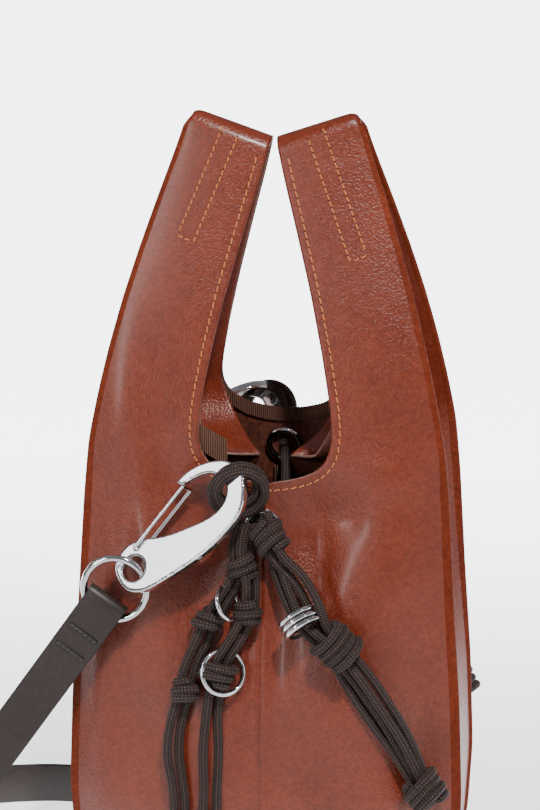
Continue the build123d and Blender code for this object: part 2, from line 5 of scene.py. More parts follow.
import bmesh
import bpy
import numpy as np
from mathutils import Vector
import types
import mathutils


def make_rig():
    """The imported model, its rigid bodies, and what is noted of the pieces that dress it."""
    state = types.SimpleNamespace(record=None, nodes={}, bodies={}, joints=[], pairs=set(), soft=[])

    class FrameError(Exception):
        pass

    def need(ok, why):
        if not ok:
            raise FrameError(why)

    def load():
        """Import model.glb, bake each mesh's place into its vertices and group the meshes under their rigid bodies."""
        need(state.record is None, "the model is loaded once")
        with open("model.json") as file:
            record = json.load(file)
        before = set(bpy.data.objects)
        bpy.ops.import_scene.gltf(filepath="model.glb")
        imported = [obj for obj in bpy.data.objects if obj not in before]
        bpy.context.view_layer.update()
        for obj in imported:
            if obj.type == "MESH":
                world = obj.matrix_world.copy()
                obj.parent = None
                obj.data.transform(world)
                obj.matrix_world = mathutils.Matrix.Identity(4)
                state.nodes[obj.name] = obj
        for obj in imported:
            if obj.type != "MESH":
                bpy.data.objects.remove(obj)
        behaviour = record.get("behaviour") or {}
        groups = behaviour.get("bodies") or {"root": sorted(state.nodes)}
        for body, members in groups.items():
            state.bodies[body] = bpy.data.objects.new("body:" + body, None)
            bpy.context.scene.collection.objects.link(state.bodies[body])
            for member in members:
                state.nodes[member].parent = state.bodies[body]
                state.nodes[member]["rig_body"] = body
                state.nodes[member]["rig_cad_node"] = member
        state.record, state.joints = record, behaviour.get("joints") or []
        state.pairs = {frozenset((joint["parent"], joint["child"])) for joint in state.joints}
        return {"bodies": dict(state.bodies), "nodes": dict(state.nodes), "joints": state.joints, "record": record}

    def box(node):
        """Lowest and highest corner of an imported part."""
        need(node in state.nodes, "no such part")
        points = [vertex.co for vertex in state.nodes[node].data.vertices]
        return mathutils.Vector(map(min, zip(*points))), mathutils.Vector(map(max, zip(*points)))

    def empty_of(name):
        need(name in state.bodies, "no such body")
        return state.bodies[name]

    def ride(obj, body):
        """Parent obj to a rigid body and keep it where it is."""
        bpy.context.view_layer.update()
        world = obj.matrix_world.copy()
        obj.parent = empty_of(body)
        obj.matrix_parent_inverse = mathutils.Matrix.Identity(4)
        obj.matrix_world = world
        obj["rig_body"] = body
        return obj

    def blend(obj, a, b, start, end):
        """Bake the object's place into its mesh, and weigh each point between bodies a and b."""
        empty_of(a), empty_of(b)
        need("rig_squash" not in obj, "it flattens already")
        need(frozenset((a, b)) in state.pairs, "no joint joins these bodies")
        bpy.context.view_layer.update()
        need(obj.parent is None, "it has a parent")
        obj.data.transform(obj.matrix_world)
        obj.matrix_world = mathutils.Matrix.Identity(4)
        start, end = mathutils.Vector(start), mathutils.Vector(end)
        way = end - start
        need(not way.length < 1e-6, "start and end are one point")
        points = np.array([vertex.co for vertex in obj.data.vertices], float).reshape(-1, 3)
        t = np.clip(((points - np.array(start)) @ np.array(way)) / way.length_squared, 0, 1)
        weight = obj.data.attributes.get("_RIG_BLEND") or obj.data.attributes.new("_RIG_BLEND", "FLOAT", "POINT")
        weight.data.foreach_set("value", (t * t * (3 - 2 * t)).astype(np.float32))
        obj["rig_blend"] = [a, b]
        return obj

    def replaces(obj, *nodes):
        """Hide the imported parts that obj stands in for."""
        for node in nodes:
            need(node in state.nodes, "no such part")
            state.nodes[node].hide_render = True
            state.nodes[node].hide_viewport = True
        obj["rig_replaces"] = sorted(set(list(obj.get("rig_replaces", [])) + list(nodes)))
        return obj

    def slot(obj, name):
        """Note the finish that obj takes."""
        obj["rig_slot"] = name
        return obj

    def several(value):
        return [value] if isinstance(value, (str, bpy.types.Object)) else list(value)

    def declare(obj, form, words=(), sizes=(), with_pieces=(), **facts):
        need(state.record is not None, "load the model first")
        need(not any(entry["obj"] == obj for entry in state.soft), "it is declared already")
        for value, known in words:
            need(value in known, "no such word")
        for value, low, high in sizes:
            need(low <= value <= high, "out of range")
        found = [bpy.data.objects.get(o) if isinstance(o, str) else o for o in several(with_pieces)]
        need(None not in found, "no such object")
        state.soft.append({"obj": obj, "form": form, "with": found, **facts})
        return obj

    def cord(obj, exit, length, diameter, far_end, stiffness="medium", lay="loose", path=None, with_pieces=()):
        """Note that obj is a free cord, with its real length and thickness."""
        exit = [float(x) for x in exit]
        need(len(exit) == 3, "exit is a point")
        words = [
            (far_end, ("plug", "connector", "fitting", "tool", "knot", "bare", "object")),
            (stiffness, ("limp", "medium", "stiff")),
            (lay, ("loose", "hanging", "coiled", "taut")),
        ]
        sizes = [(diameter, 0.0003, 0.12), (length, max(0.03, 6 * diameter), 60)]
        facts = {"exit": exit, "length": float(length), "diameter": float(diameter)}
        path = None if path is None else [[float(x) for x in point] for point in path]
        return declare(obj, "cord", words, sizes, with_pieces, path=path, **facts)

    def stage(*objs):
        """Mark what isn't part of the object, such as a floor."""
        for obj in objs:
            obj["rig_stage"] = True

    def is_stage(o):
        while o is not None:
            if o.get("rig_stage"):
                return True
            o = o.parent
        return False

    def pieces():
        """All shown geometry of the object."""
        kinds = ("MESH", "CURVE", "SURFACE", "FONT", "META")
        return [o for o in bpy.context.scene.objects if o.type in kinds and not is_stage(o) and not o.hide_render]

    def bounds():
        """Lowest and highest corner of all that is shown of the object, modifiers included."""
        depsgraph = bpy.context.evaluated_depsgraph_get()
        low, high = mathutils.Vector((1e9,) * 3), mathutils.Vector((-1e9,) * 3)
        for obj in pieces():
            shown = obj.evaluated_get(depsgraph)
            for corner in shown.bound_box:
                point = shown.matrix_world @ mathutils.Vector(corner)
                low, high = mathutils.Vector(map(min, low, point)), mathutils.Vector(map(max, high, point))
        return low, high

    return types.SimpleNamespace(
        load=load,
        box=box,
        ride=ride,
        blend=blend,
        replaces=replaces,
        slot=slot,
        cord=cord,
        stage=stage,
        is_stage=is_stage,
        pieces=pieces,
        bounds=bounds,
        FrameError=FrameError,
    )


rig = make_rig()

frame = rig.load()
cad_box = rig.bounds()
nodes = frame["nodes"]
MM = 0.001
FULL_TURN = 2 * math.pi
SIDES = {"left": -1, "right": 1}
FACES = {"front": -1, "back": 1}


# ---------------------------------------------------------------- camera
CAMERA_AZIMUTH = math.radians(8.0)
CAMERA_ELEVATION = math.radians(15.0)
CAMERA_DISTANCE = 1.5
CAMERA_TARGET = Vector((-0.0026, 0.0, 0.2520))
VIEW_HEIGHT = 0.417
SENSOR_HEIGHT = 24.0


def add_camera():
    """A long lens a little to the right of the front and a little above it."""
    away = Vector((math.sin(CAMERA_AZIMUTH) * math.cos(CAMERA_ELEVATION),
                   -math.cos(CAMERA_AZIMUTH) * math.cos(CAMERA_ELEVATION), math.sin(CAMERA_ELEVATION)))
    data = bpy.data.cameras.new("camera")
    data.sensor_fit = "VERTICAL"
    data.sensor_height = SENSOR_HEIGHT
    data.lens = SENSOR_HEIGHT * CAMERA_DISTANCE / VIEW_HEIGHT
    camera = bpy.data.objects.new("camera", data)
    camera.location = CAMERA_TARGET + away * CAMERA_DISTANCE
    camera.rotation_euler = (-away).to_track_quat("-Z", "Y").to_euler()
    bpy.context.collection.objects.link(camera)
    bpy.context.scene.camera = camera


add_camera()


# ---------------------------------------------------------------- node helpers
class Shader:
    """A material under construction: short calls for nodes and links."""

    def __init__(self, name):
        self.material = bpy.data.materials.new(name)
        self.material.use_nodes = True
        self.tree = self.material.node_tree
        self.surface = self.tree.nodes["Principled BSDF"]

    def node(self, kind, inputs=None, **settings):
        made = self.tree.nodes.new(kind)
        for key, value in settings.items():
            setattr(made, key, value)
        for key, value in (inputs or {}).items():
            self.feed(value, made.inputs[key])
        return made

    def feed(self, value, socket):
        if isinstance(value, bpy.types.NodeSocket):
            self.tree.links.new(value, socket)
        else:
            socket.default_value = value

    def set(self, **values):
        for key, value in values.items():
            self.feed(value, self.surface.inputs[key.replace("_", " ")])

    def position(self):
        return self.node("ShaderNodeTexCoord").outputs["Object"]

    def uv(self):
        return self.node("ShaderNodeUVMap", uv_map="UVMap").outputs["UV"]

    def noise(self, scale, detail=3.0, roughness=0.5):
        made = self.node("ShaderNodeTexNoise", {"Scale": scale, "Detail": detail, "Roughness": roughness,
                                                "Vector": self.position()})
        return made.outputs["Fac"]

    def cells(self, scale):
        made = self.node("ShaderNodeTexVoronoi", {"Scale": scale, "Vector": self.position()},
                         feature="SMOOTH_F1")
        return made.outputs["Distance"]

    def math(self, operation, first, second=0.0):
        return self.node("ShaderNodeMath", {0: first, 1: second}, operation=operation).outputs[0]

    def ramp(self, value, *stops):
        made = self.node("ShaderNodeValToRGB", {"Fac": value})
        while len(made.color_ramp.elements) < len(stops):
            made.color_ramp.elements.new(0.5)
        for element, (place, colour) in zip(made.color_ramp.elements, stops):
            element.position = place
            element.color = (*colour, 1.0)
        return made.outputs["Color"]

    def multiply_colours(self, share, first, second):
        made = self.node("ShaderNodeMix", data_type="RGBA", blend_type="MULTIPLY")
        self.feed(share, made.inputs[0])
        self.feed(first, made.inputs[6])
        self.feed(second, made.inputs[7])
        return made.outputs[2]

    def bump(self, height, distance, strength, before=None):
        made = self.node("ShaderNodeBump", {"Height": height, "Distance": distance, "Strength": strength})
        if before is not None:
            self.feed(before, made.inputs["Normal"])
        return made.outputs["Normal"]


def grey(value):
    return (value, value, value)


# ---------------------------------------------------------------- materials
def make_leather(name, dark, middle, light, roughness, grain=1.0, coat=0.0):
    """Fine pebble grain with a soft uneven dye, and painted shade that darkens the hollows between the pebbles."""
    shader = Shader(name)
    blotches = shader.noise(28.0, 4.0, 0.55)
    mottle = shader.noise(420.0, 3.0, 0.6)
    pebbles = shader.cells(950.0)
    fine = shader.noise(2400.0, 2.0, 0.6)
    dye = shader.math("ADD", shader.math("MULTIPLY", blotches, 0.4), shader.math("MULTIPLY", mottle, 0.6))
    colour = shader.ramp(dye, (0.34, dark), (0.5, middle), (0.66, light))
    # Painted shade: darker towards each pebble's edge, where the grain's bump is lowest
    pebble_hollow_shade = shader.ramp(pebbles, (0.25, grey(1.0)), (0.75, grey(0.72)))
    shader.set(Base_Color=shader.multiply_colours(0.55, colour, pebble_hollow_shade))
    rough = shader.math("ADD", shader.math("MULTIPLY", shader.math("SUBTRACT", mottle, 0.5), 0.12), roughness)
    shader.set(Roughness=shader.math("ADD", rough, shader.math("MULTIPLY", pebbles, 0.08)))
    height = shader.math("ADD", shader.math("MULTIPLY", pebbles, -0.75), shader.math("MULTIPLY", fine, 0.35))
    broad = shader.bump(shader.noise(120.0, 3.0, 0.5), 0.0006, 0.5 * grain)
    shader.set(Normal=shader.bump(height, 0.00055, 0.62 * grain, broad))
    shader.surface.inputs["Coat Weight"].default_value = coat
    shader.surface.inputs["Coat Roughness"].default_value = 0.22
    return shader.material


def make_chrome(name):
    """Polished plating with faint handling haze."""
    shader = Shader(name)
    haze = shader.noise(160.0, 4.0, 0.6)
    shader.set(Metallic=1.0, Roughness=shader.math("MULTIPLY", haze, 0.13))
    shader.set(Base_Color=shader.ramp(haze, (0.3, (0.78, 0.79, 0.82)), (0.7, (0.88, 0.88, 0.9))))
    shader.set(Normal=shader.bump(shader.noise(900.0), 0.00004, 0.3))
    return shader.material


CORD_PITCH = 2.6
CORD_STRANDS = 8


def make_cord(name):
    """Braided cord: darker where the braid's relief sinks between strands and lighter on its crests, as painted shade
    and highlight, with random flecks of yarn, laid out along the cord's own length.
    """
    shader = Shader(name)
    parts = shader.node("ShaderNodeSeparateXYZ", {"Vector": shader.uv()})
    around = shader.math("MULTIPLY", parts.outputs["X"], CORD_STRANDS / 2.0)
    along = shader.math("DIVIDE", parts.outputs["Y"], CORD_PITCH)
    rising = shader.math("SINE", shader.math("MULTIPLY", shader.math("ADD", along, around), FULL_TURN))
    falling = shader.math("SINE", shader.math("MULTIPLY", shader.math("SUBTRACT", along, around), FULL_TURN))
    weave = shader.math("MULTIPLY", rising, falling)
    fibre = shader.noise(5200.0, 2.0, 0.6)
    # The weave term is also the relief: painted shade in its grooves and painted highlight on its crests; the fibre
    # noise adds flecks
    groove_shade_and_fleck = shader.math("ADD", weave, shader.math("MULTIPLY", shader.math("SUBTRACT", fibre, 0.5), 1.1))
    colour = shader.ramp(groove_shade_and_fleck, (0.0, (0.008, 0.003, 0.0022)), (0.45, (0.022, 0.0085, 0.006)),
                         (0.8, (0.085, 0.036, 0.026)), (1.0, (0.24, 0.12, 0.09)))
    shader.set(Base_Color=colour, Roughness=0.72)
    shader.set(Normal=shader.bump(shader.math("ADD", weave, fibre), 0.00025, 0.7))
    shader.surface.inputs["Sheen Weight"].default_value = 0.05
    shader.surface.inputs["Sheen Roughness"].default_value = 0.5
    return shader.material


def make_thread(name, colour, dark):
    """Waxed sewing thread with its twist."""
    shader = Shader(name)
    fibre = shader.noise(3500.0, 2.0, 0.5)
    shader.set(Base_Color=shader.ramp(fibre, (0.35, dark), (0.65, colour)), Roughness=0.55)
    shader.set(Normal=shader.bump(fibre, 0.0001, 0.4))
    return shader.material


def make_ribbon(name):
    """Grosgrain: fine ribs across a dark brown band, painted darker in the grooves between ribs and lighter on their
    crests.
    """
    shader = Shader(name)
    parts = shader.node("ShaderNodeSeparateXYZ", {"Vector": shader.position()})
    ribs = shader.math("SINE", shader.math("MULTIPLY", parts.outputs["X"], FULL_TURN / (1.1 * MM)))
    fibre = shader.noise(2600.0, 2.0, 0.6)
    height = shader.math("ADD", ribs, fibre)
    # Painted shade and highlight: the colour follows the ribs' height, dark in the grooves and light on the crests
    shader.set(Base_Color=shader.ramp(height, (0.0, (0.03, 0.012, 0.008)), (1.0, (0.2, 0.085, 0.05))),
               Roughness=0.8)
    shader.set(Normal=shader.bump(height, 0.0003, 0.8))
    return shader.material


def make_floor(name):
    """Plain pale studio paper, lit up towards the back like a studio sweep."""
    shader = Shader(name)
    paper = shader.noise(30.0, 2.0)
    shader.set(Base_Color=shader.ramp(paper, (0.0, grey(0.86)), (1.0, grey(0.88))), Roughness=0.95)
    parts = shader.node("ShaderNodeSeparateXYZ", {"Vector": shader.position()})
    away = shader.node("ShaderNodeMapRange", {"Value": parts.outputs["Y"], "From Min": 0.05, "From Max": 0.8,
                                              "To Min": 1.7, "To Max": 5.2}, interpolation_type="SMOOTHSTEP")
    behind = shader.node("ShaderNodeMapRange", {"Value": parts.outputs["Y"], "From Min": -0.25,
                                                "From Max": 0.1}, interpolation_type="SMOOTHSTEP")
    shader.surface.inputs["Specular IOR Level"].default_value = 0.1
    shader.surface.inputs["Emission Color"].default_value = (0.95, 0.965, 1.0, 1.0)
    shader.set(Emission_Strength=shader.math("MULTIPLY", away.outputs["Result"], behind.outputs["Result"]))
    return shader.material


LEATHER = make_leather("rust_leather", (0.135, 0.0155, 0.004), (0.185, 0.0245, 0.0066),
                       (0.235, 0.0355, 0.011), 0.3, 1.15, 0.3)
# The outer fold's leather: a little darker and rougher, with little shine, as painted shade that damps the bright
# reflection along the fold
FOLD_DIMMED_LEATHER = make_leather("fold_painted_shade", (0.12, 0.015, 0.004), (0.165, 0.024, 0.007),
                            (0.22, 0.036, 0.012), 0.6)
FOLD_DIMMED_LEATHER.node_tree.nodes["Principled BSDF"].inputs["Specular IOR Level"].default_value = 0.15
FLESH = make_leather("leather_flesh_side", (0.05, 0.011, 0.005), (0.1, 0.023, 0.011), (0.18, 0.05, 0.025),
                     0.6, 0.8)
RAW_EDGE = make_leather("leather_cut_edge", (0.2, 0.1, 0.075), (0.32, 0.17, 0.13), (0.45, 0.27, 0.22),
                        0.75, 0.7)
STRAP_LEATHER = make_leather("strap_leather", (0.02, 0.0125, 0.0105), (0.026, 0.0165, 0.014),
                             (0.033, 0.022, 0.019), 0.4, 0.25)
STRAP_EDGE = make_leather("strap_edge_paint", (0.006, 0.005, 0.005), (0.009, 0.008, 0.008),
                          (0.014, 0.012, 0.011), 0.5, 0.2)
CHROME = make_chrome("polished_chrome")
CORD = make_cord("braided_cord")
THREAD = make_thread("orange_thread", (0.78, 0.27, 0.075), (0.5, 0.14, 0.035))
STRAP_THREAD = make_thread("dark_thread", (0.06, 0.042, 0.036), (0.03, 0.02, 0.018))
# Near-black for the marks beside each stitch: painted shade in the needle holes
HOLE_SHADE = make_thread("painted_hole_shade", (0.02, 0.006, 0.004), (0.01, 0.004, 0.003))
RIBBON = make_ribbon("grosgrain_ribbon")
FLOOR = make_floor("studio_paper")


# ---------------------------------------------------------------- mesh helpers
def make_mesh(name, vertices, faces, materials, smooth=True, uvs=None, face_slots=None):
    """A mesh object from vertices in metres."""
    mesh = bpy.data.meshes.new(name)
    mesh.from_pydata([tuple(v) for v in vertices], [], faces)
    for material in materials:
        mesh.materials.append(material)
    if uvs is not None:
        layer = mesh.uv_layers.new(name="UVMap")
        for loop in mesh.loops:
            layer.data[loop.index].uv = uvs[loop.vertex_index]
    if face_slots is not None:
        for polygon, index in zip(mesh.polygons, face_slots):
            polygon.material_index = index
    mesh.shade_smooth() if smooth else mesh.shade_flat()
    made = bpy.data.objects.new(name, mesh)
    bpy.context.collection.objects.link(made)
    return made


def settle(piece, slot, *replaced):
    """Fix a piece to the bag's body, in place of these CAD nodes."""
    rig.ride(piece, "root")
    if replaced:
        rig.replaces(piece, *replaced)
    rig.slot(piece, slot)


def spline_points(points, samples=14):
    """Points along the NURBS curve whose control points are the route."""
    curve = bpy.data.curves.new("route", "CURVE")
    curve.dimensions = "3D"
    curve.resolution_u = samples
    spline = curve.splines.new("NURBS")
    spline.points.add(len(points) - 1)
    for target, point in zip(spline.points, points):
        target.co = (*point, 1.0)
    spline.order_u = 3
    spline.use_endpoint_u = True
    holder = bpy.data.objects.new("route", curve)
    mesh = bpy.data.meshes.new_from_object(holder)
    line = np.array([v.co for v in mesh.vertices], float)
    bpy.data.objects.remove(holder)
    bpy.data.curves.remove(curve)
    bpy.data.meshes.remove(mesh)
    return line


def distances_along(line):
    """How far along the line each of its points lies."""
    return np.concatenate([[0.0], np.cumsum(np.linalg.norm(np.diff(line, axis=0), axis=1))])


def points_at(places, reach, line):
    """The points that lie at these distances along a line."""
    return np.stack([np.interp(places, reach, line[:, axis]) for axis in range(line.shape[1])], axis=1)


def resample(line, step):
    """The same line with evenly spaced points, and its length."""
    line = np.asarray(line, float)
    gaps = np.linalg.norm(np.diff(line, axis=0), axis=1)
    line = line[np.concatenate([[True], gaps > 1e-9])]
    reach = distances_along(line)
    count = max(int(round(reach[-1] / step)), 2) + 1
    return points_at(np.linspace(0.0, reach[-1], count), reach, line), reach[-1]


def tube_faces(rings, sides, first=0, capped=True):
    """Quads between neighbouring rings of vertices, and a face over each end if capped."""
    faces = []
    for ring in range(rings - 1):
        low, high = first + ring * sides, first + (ring + 1) * sides
        for side in range(sides):
            beside = (side + 1) % sides
            faces.append((low + side, low + beside, high + beside, high + side))
    if capped:
        faces.append(tuple(first + side for side in reversed(range(sides))))
        faces.append(tuple(first + (rings - 1) * sides + side for side in range(sides)))
    return faces


def frames_along(line):
    """Two steady unit normals at each point of a line."""
    tangents = np.gradient(line, axis=0)
    tangents /= np.linalg.norm(tangents, axis=1)[:, None]
    start = np.array([0.0, 1.0, 0.0]) if abs(tangents[0][1]) < 0.9 else np.array([1.0, 0.0, 0.0])
    first = np.cross(tangents[0], start)
    normals = [first / np.linalg.norm(first)]
    for tangent in tangents[1:]:
        carried = normals[-1] - tangent * np.dot(tangent, normals[-1])
        normals.append(carried / np.linalg.norm(carried))
    normals = np.array(normals)
    return normals, np.cross(tangents, normals)


def braided_tube(name, line, radius, step=0.55 * MM, sides=20):
    """A closed tube with the relief of a round braid, its middle line and its length."""
    line, length = resample(line, step)
    across, up = frames_along(line)
    reach = np.linspace(0.0, length, len(line)) / MM
    angles = np.linspace(0.0, FULL_TURN, sides, endpoint=False)
    vertices, uvs = [], []
    for index, point in enumerate(line):
        end = min(reach[index], reach[-1] - reach[index]) * MM
        cap = math.sqrt(max(1.0 - max(1.0 - end / radius, 0.0) ** 2, 0.02))
        for angle in angles:
            around = angle / FULL_TURN * CORD_STRANDS / 2.0
            along = reach[index] / CORD_PITCH
            weave = math.sin(FULL_TURN * (along + around)) * math.sin(FULL_TURN * (along - around))
            size = radius * cap * (0.96 + 0.055 * weave)
            vertices.append(point + (across[index] * math.cos(angle) + up[index] * math.sin(angle)) * size)
            uvs.append((angle / FULL_TURN, reach[index]))
    return make_mesh(name, vertices, tube_faces(len(line), sides), [CORD], uvs=uvs), line, length


def wire_ring(name, line, radius, material, sides=16):
    """A smooth round wire along a line that ends where it starts."""
    line = np.asarray(line, float)
    across, up = frames_along(line)
    angles = np.linspace(0.0, FULL_TURN, sides, endpoint=False)
    vertices = [point + (across[i] * math.cos(a) + up[i] * math.sin(a)) * radius
                for i, point in enumerate(line) for a in angles]
    return make_mesh(name, vertices, tube_faces(len(line), sides, capped=False), [material])


# ---------------------------------------------------------------- cords
CORD_RADIUS = 2.4 * MM
CORD_ROUTES = {
    "right_cord_1": [(4, -54, 212), (6, -58, 199), (13, -59, 188), (23, -61, 181), (31, -63, 167),
                     (35, -65, 155), (44, -66, 146), (56, -65, 133), (67, -64, 116), (76, -62, 100),
                     (83, -62, 84), (87, -62, 72)],
    "right_cord_2": [(1, -52, 208), (2, -56, 196), (9, -56, 184), (18, -58, 177), (26, -60, 163),
                     (31, -61, 150), (37, -62, 139), (44, -62, 125), (55, -62, 108), (66, -60, 92),
                     (76, -60, 77), (82, -61, 66)],
    "right_cord_3": [(8, -50, 207), (10, -54, 194), (11, -56, 182), (15, -58, 172), (21, -62, 159),
                     (30, -65, 151), (41, -68, 145), (52, -68, 131), (63, -67, 114), (73, -65, 98),
                     (81, -65, 82), (86, -64, 70)],
    "right_cord_4": [(5, -49, 204), (5, -52, 192), (7, -53, 180), (11, -55, 170), (18, -60, 157),
                     (26, -61, 148), (38, -64, 142), (48, -63, 128), (60, -63, 112), (70, -61, 94),
                     (79, -61, 79), (84, -61, 67)],
    "left_cord_1": [(-11, -50, 205), (-15, -53, 193), (-12, -55, 181), (-19, -58, 168), (-27, -60, 156),
                    (-32, -62, 143), (-38, -64, 130), (-40, -65, 116), (-45, -65, 100), (-47, -65, 82),
                    (-43, -66, 64), (-43, -67, 46), (-41, -67, 31)],
    "left_cord_2": [(-6, -50, 204), (-10, -54, 193), (-7, -54, 182), (-14, -54, 167), (-22, -56, 154),
                    (-27, -58, 141), (-33, -60, 129), (-35, -62, 115), (-40, -62, 99), (-41, -63, 82),
                    (-38, -64, 65), (-37, -65, 47), (-39, -66, 31)],
    "left_cord_3": [(-9, -47, 203), (-11, -57, 192), (-7, -59, 180), (-6, -59, 169), (-8, -60, 158),
                    (-14, -62, 146), (-21, -65, 135), (-24, -66, 121), (-26, -65, 105), (-28, -66, 86),
                    (-27, -67, 66), (-28, -68, 48), (-25, -68, 32)],
    "left_cord_4": [(-4, -46, 203), (-6, -52, 192), (-4, -54, 181), (-2, -54, 170), (-3, -56, 158),
                    (-8, -58, 146), (-16, -61, 134), (-19, -62, 121), (-21, -62, 105), (-20, -63, 86),
                    (-21, -64, 66), (-21, -66, 48), (-23, -67, 32)],
    "back_cord_1": [(3, 49, 224), (8, 53, 212), (18, 56, 200), (32, 58, 186), (47, 60, 170),
                    (60, 61, 153), (72, 60, 136), (82, 58, 119), (90, 57, 103), (96, 55, 88)],
    "back_cord_2": [(-1, 47, 221), (4, 51, 208), (14, 53, 196), (28, 55, 181), (42, 58, 165),
                    (55, 59, 148), (67, 58, 131), (77, 56, 114), (85, 55, 99), (92, 54, 84)],
    "back_cord_3": [(-9, 48, 216), (-9, 52, 203), (-12, 55, 190), (-18, 58, 174), (-22, 61, 156),
                    (-24, 63, 138), (-27, 65, 118), (-26, 67, 98), (-28, 69, 78), (-28, 70, 59)],
    "back_cord_4": [(-14, 48, 217), (-15, 51, 204), (-17, 53, 190), (-23, 56, 174), (-28, 58, 156),
                    (-30, 61, 138), (-33, 63, 118), (-32, 65, 98), (-34, 67, 78), (-32, 69, 59)],
    "inner_cord": [(-1, -44, 199), (-1, -34, 198), (-3, -18, 193), (1, 0, 191), (3, 18, 201),
                   (1, 31, 217), (0, 43, 221)],
}
# The pieces on each bundle of cords, the knot at its end first
BUNDLES = {
    ("right_cord_1", "right_cord_2", "right_cord_3", "right_cord_4"):
        ["right_end_knot", "right_middle_knot", "right_upper_knot", "coil_rings"],
    ("left_cord_1", "left_cord_2"):
        ["left_outer_tail_knot", "left_outer_knot_2", "left_outer_knot_1", "left_upper_knot",
         "tassel_ring_small"],
    ("left_cord_3", "left_cord_4"):
        ["left_inner_tail_knot", "left_inner_knot_2", "left_inner_knot_1", "left_upper_knot",
         "tassel_ring_large"],
    ("back_cord_1", "back_cord_2"): ["back_right_end_knot", "back_right_knot", "back_upper_knot"],
    ("back_cord_3", "back_cord_4"): ["back_left_end_knot", "back_upper_knot"],
}
ON_CORD = {cord: pieces for cords, pieces in BUNDLES.items() for cord in cords}

KNOT_STEPS_PER_TURN = 26
# Knots: axis, outer radius in millimetres and turns of cord
KNOTS = {
    "right_upper_knot": ((0.45, -0.1, -0.88), 8.8, 3.1),
    "right_middle_knot": ((0.72, 0.0, -0.69), 11.3, 3.9),
    "right_end_knot": ((0.6, 0.0, -0.8), 11.2, 3.8),
    "left_upper_knot": ((0.1, 0.0, -1.0), 8.0, 2.3),
    "left_outer_knot_1": ((-0.5, -0.1, -0.86), 7.6, 2.4),
    "left_inner_knot_1": ((-0.3, 0.0, -0.95), 7.6, 2.2),
    "left_outer_knot_2": ((-0.3, -0.1, -0.95), 7.6, 2.3),
    "left_inner_knot_2": ((-0.4, -0.2, -0.9), 9.2, 2.7),
    "left_outer_tail_knot": ((0.1, 0.0, -1.0), 8.0, 2.8),
    "left_inner_tail_knot": ((-0.1, 0.0, -1.0), 8.0, 2.8),
    "back_upper_knot": ((0.5, 0.1, -0.86), 8.8, 3.0),
    "back_right_knot": ((0.6, 0.0, -0.8), 9.0, 3.0),
    "back_right_end_knot": ((0.5, -0.1, -0.86), 9.5, 3.2),
    "back_left_end_knot": ((0.0, 0.0, -1.0), 9.0, 3.0),
}


def node_centre(name):
    """The middle of a CAD node's box."""
    low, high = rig.box(name)
    return (Vector(low) + Vector(high)) / 2


def knot_line(name, seed):
    """A tight whipping of cord round the strands, with turns that wander and tucked-in ends."""
    axis, outer, turns = KNOTS[name]
    chance = random.Random(seed)
    axis = Vector(axis).normalized()
    across = axis.orthogonal().normalized()
    up = axis.cross(across)
    centre = node_centre(name)
    radius = outer * MM - CORD_RADIUS
    pitch = 1.88 * CORD_RADIUS
    lean = chance.uniform(0.5, 0.9) * CORD_RADIUS
    phase = chance.uniform(0, FULL_TURN)
    steps = int(turns * KNOT_STEPS_PER_TURN)
    line = []
    for step in range(steps + 1):
        share = step / steps
        angle = phase + share * turns * FULL_TURN
        tuck = min(share, 1 - share) * turns
        spread = radius * (0.45 + 0.55 * min(tuck / 0.32, 1.0) ** 0.7)
        spread *= 1.0 + 0.06 * math.sin(3 * math.pi * share)
        height = (share - 0.5) * turns * pitch + lean * math.sin(angle)
        line.append(centre + axis * height + across * (spread * math.cos(angle))
                    + up * (spread * math.sin(angle)))
    return [tuple(p) for p in line]


def make_knots():
    """A whipping of cord in place of each knot's node, by name."""
    made = {}
    for seed, name in enumerate(KNOTS):
        knot = braided_tube(f"{name}_wraps", knot_line(name, seed), CORD_RADIUS, 0.5 * MM)[0]
        settle(knot, "cord", name)
        made[name] = knot
    return made


def make_cords(knots):
    """The strands that hang from both grommets, and the cord between them."""
    for name, route in CORD_ROUTES.items():
        points = [tuple(MM * value for value in point) for point in route]
        tube, line, length = braided_tube(f"{name}_braid", spline_points(points), CORD_RADIUS)
        settle(tube, "cord", name)
        on_cord = [knots.get(piece) or nodes[piece] for piece in ON_CORD.get(name, [])]
        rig.cord(tube, exit=points[0], length=round(length, 3), diameter=2 * CORD_RADIUS,
                far_end="knot" if on_cord else "object", stiffness="limp", lay="hanging",
                path=[tuple(p) for p in line], with_pieces=on_cord)


LOOP_SLOPE = math.radians(40.0)
LOOP_TILT = math.radians(-20.0)
LOOP_TURNS = 2.9
LOOP_DEPTH = 7.4 * MM
LOOP_STEPS = 84


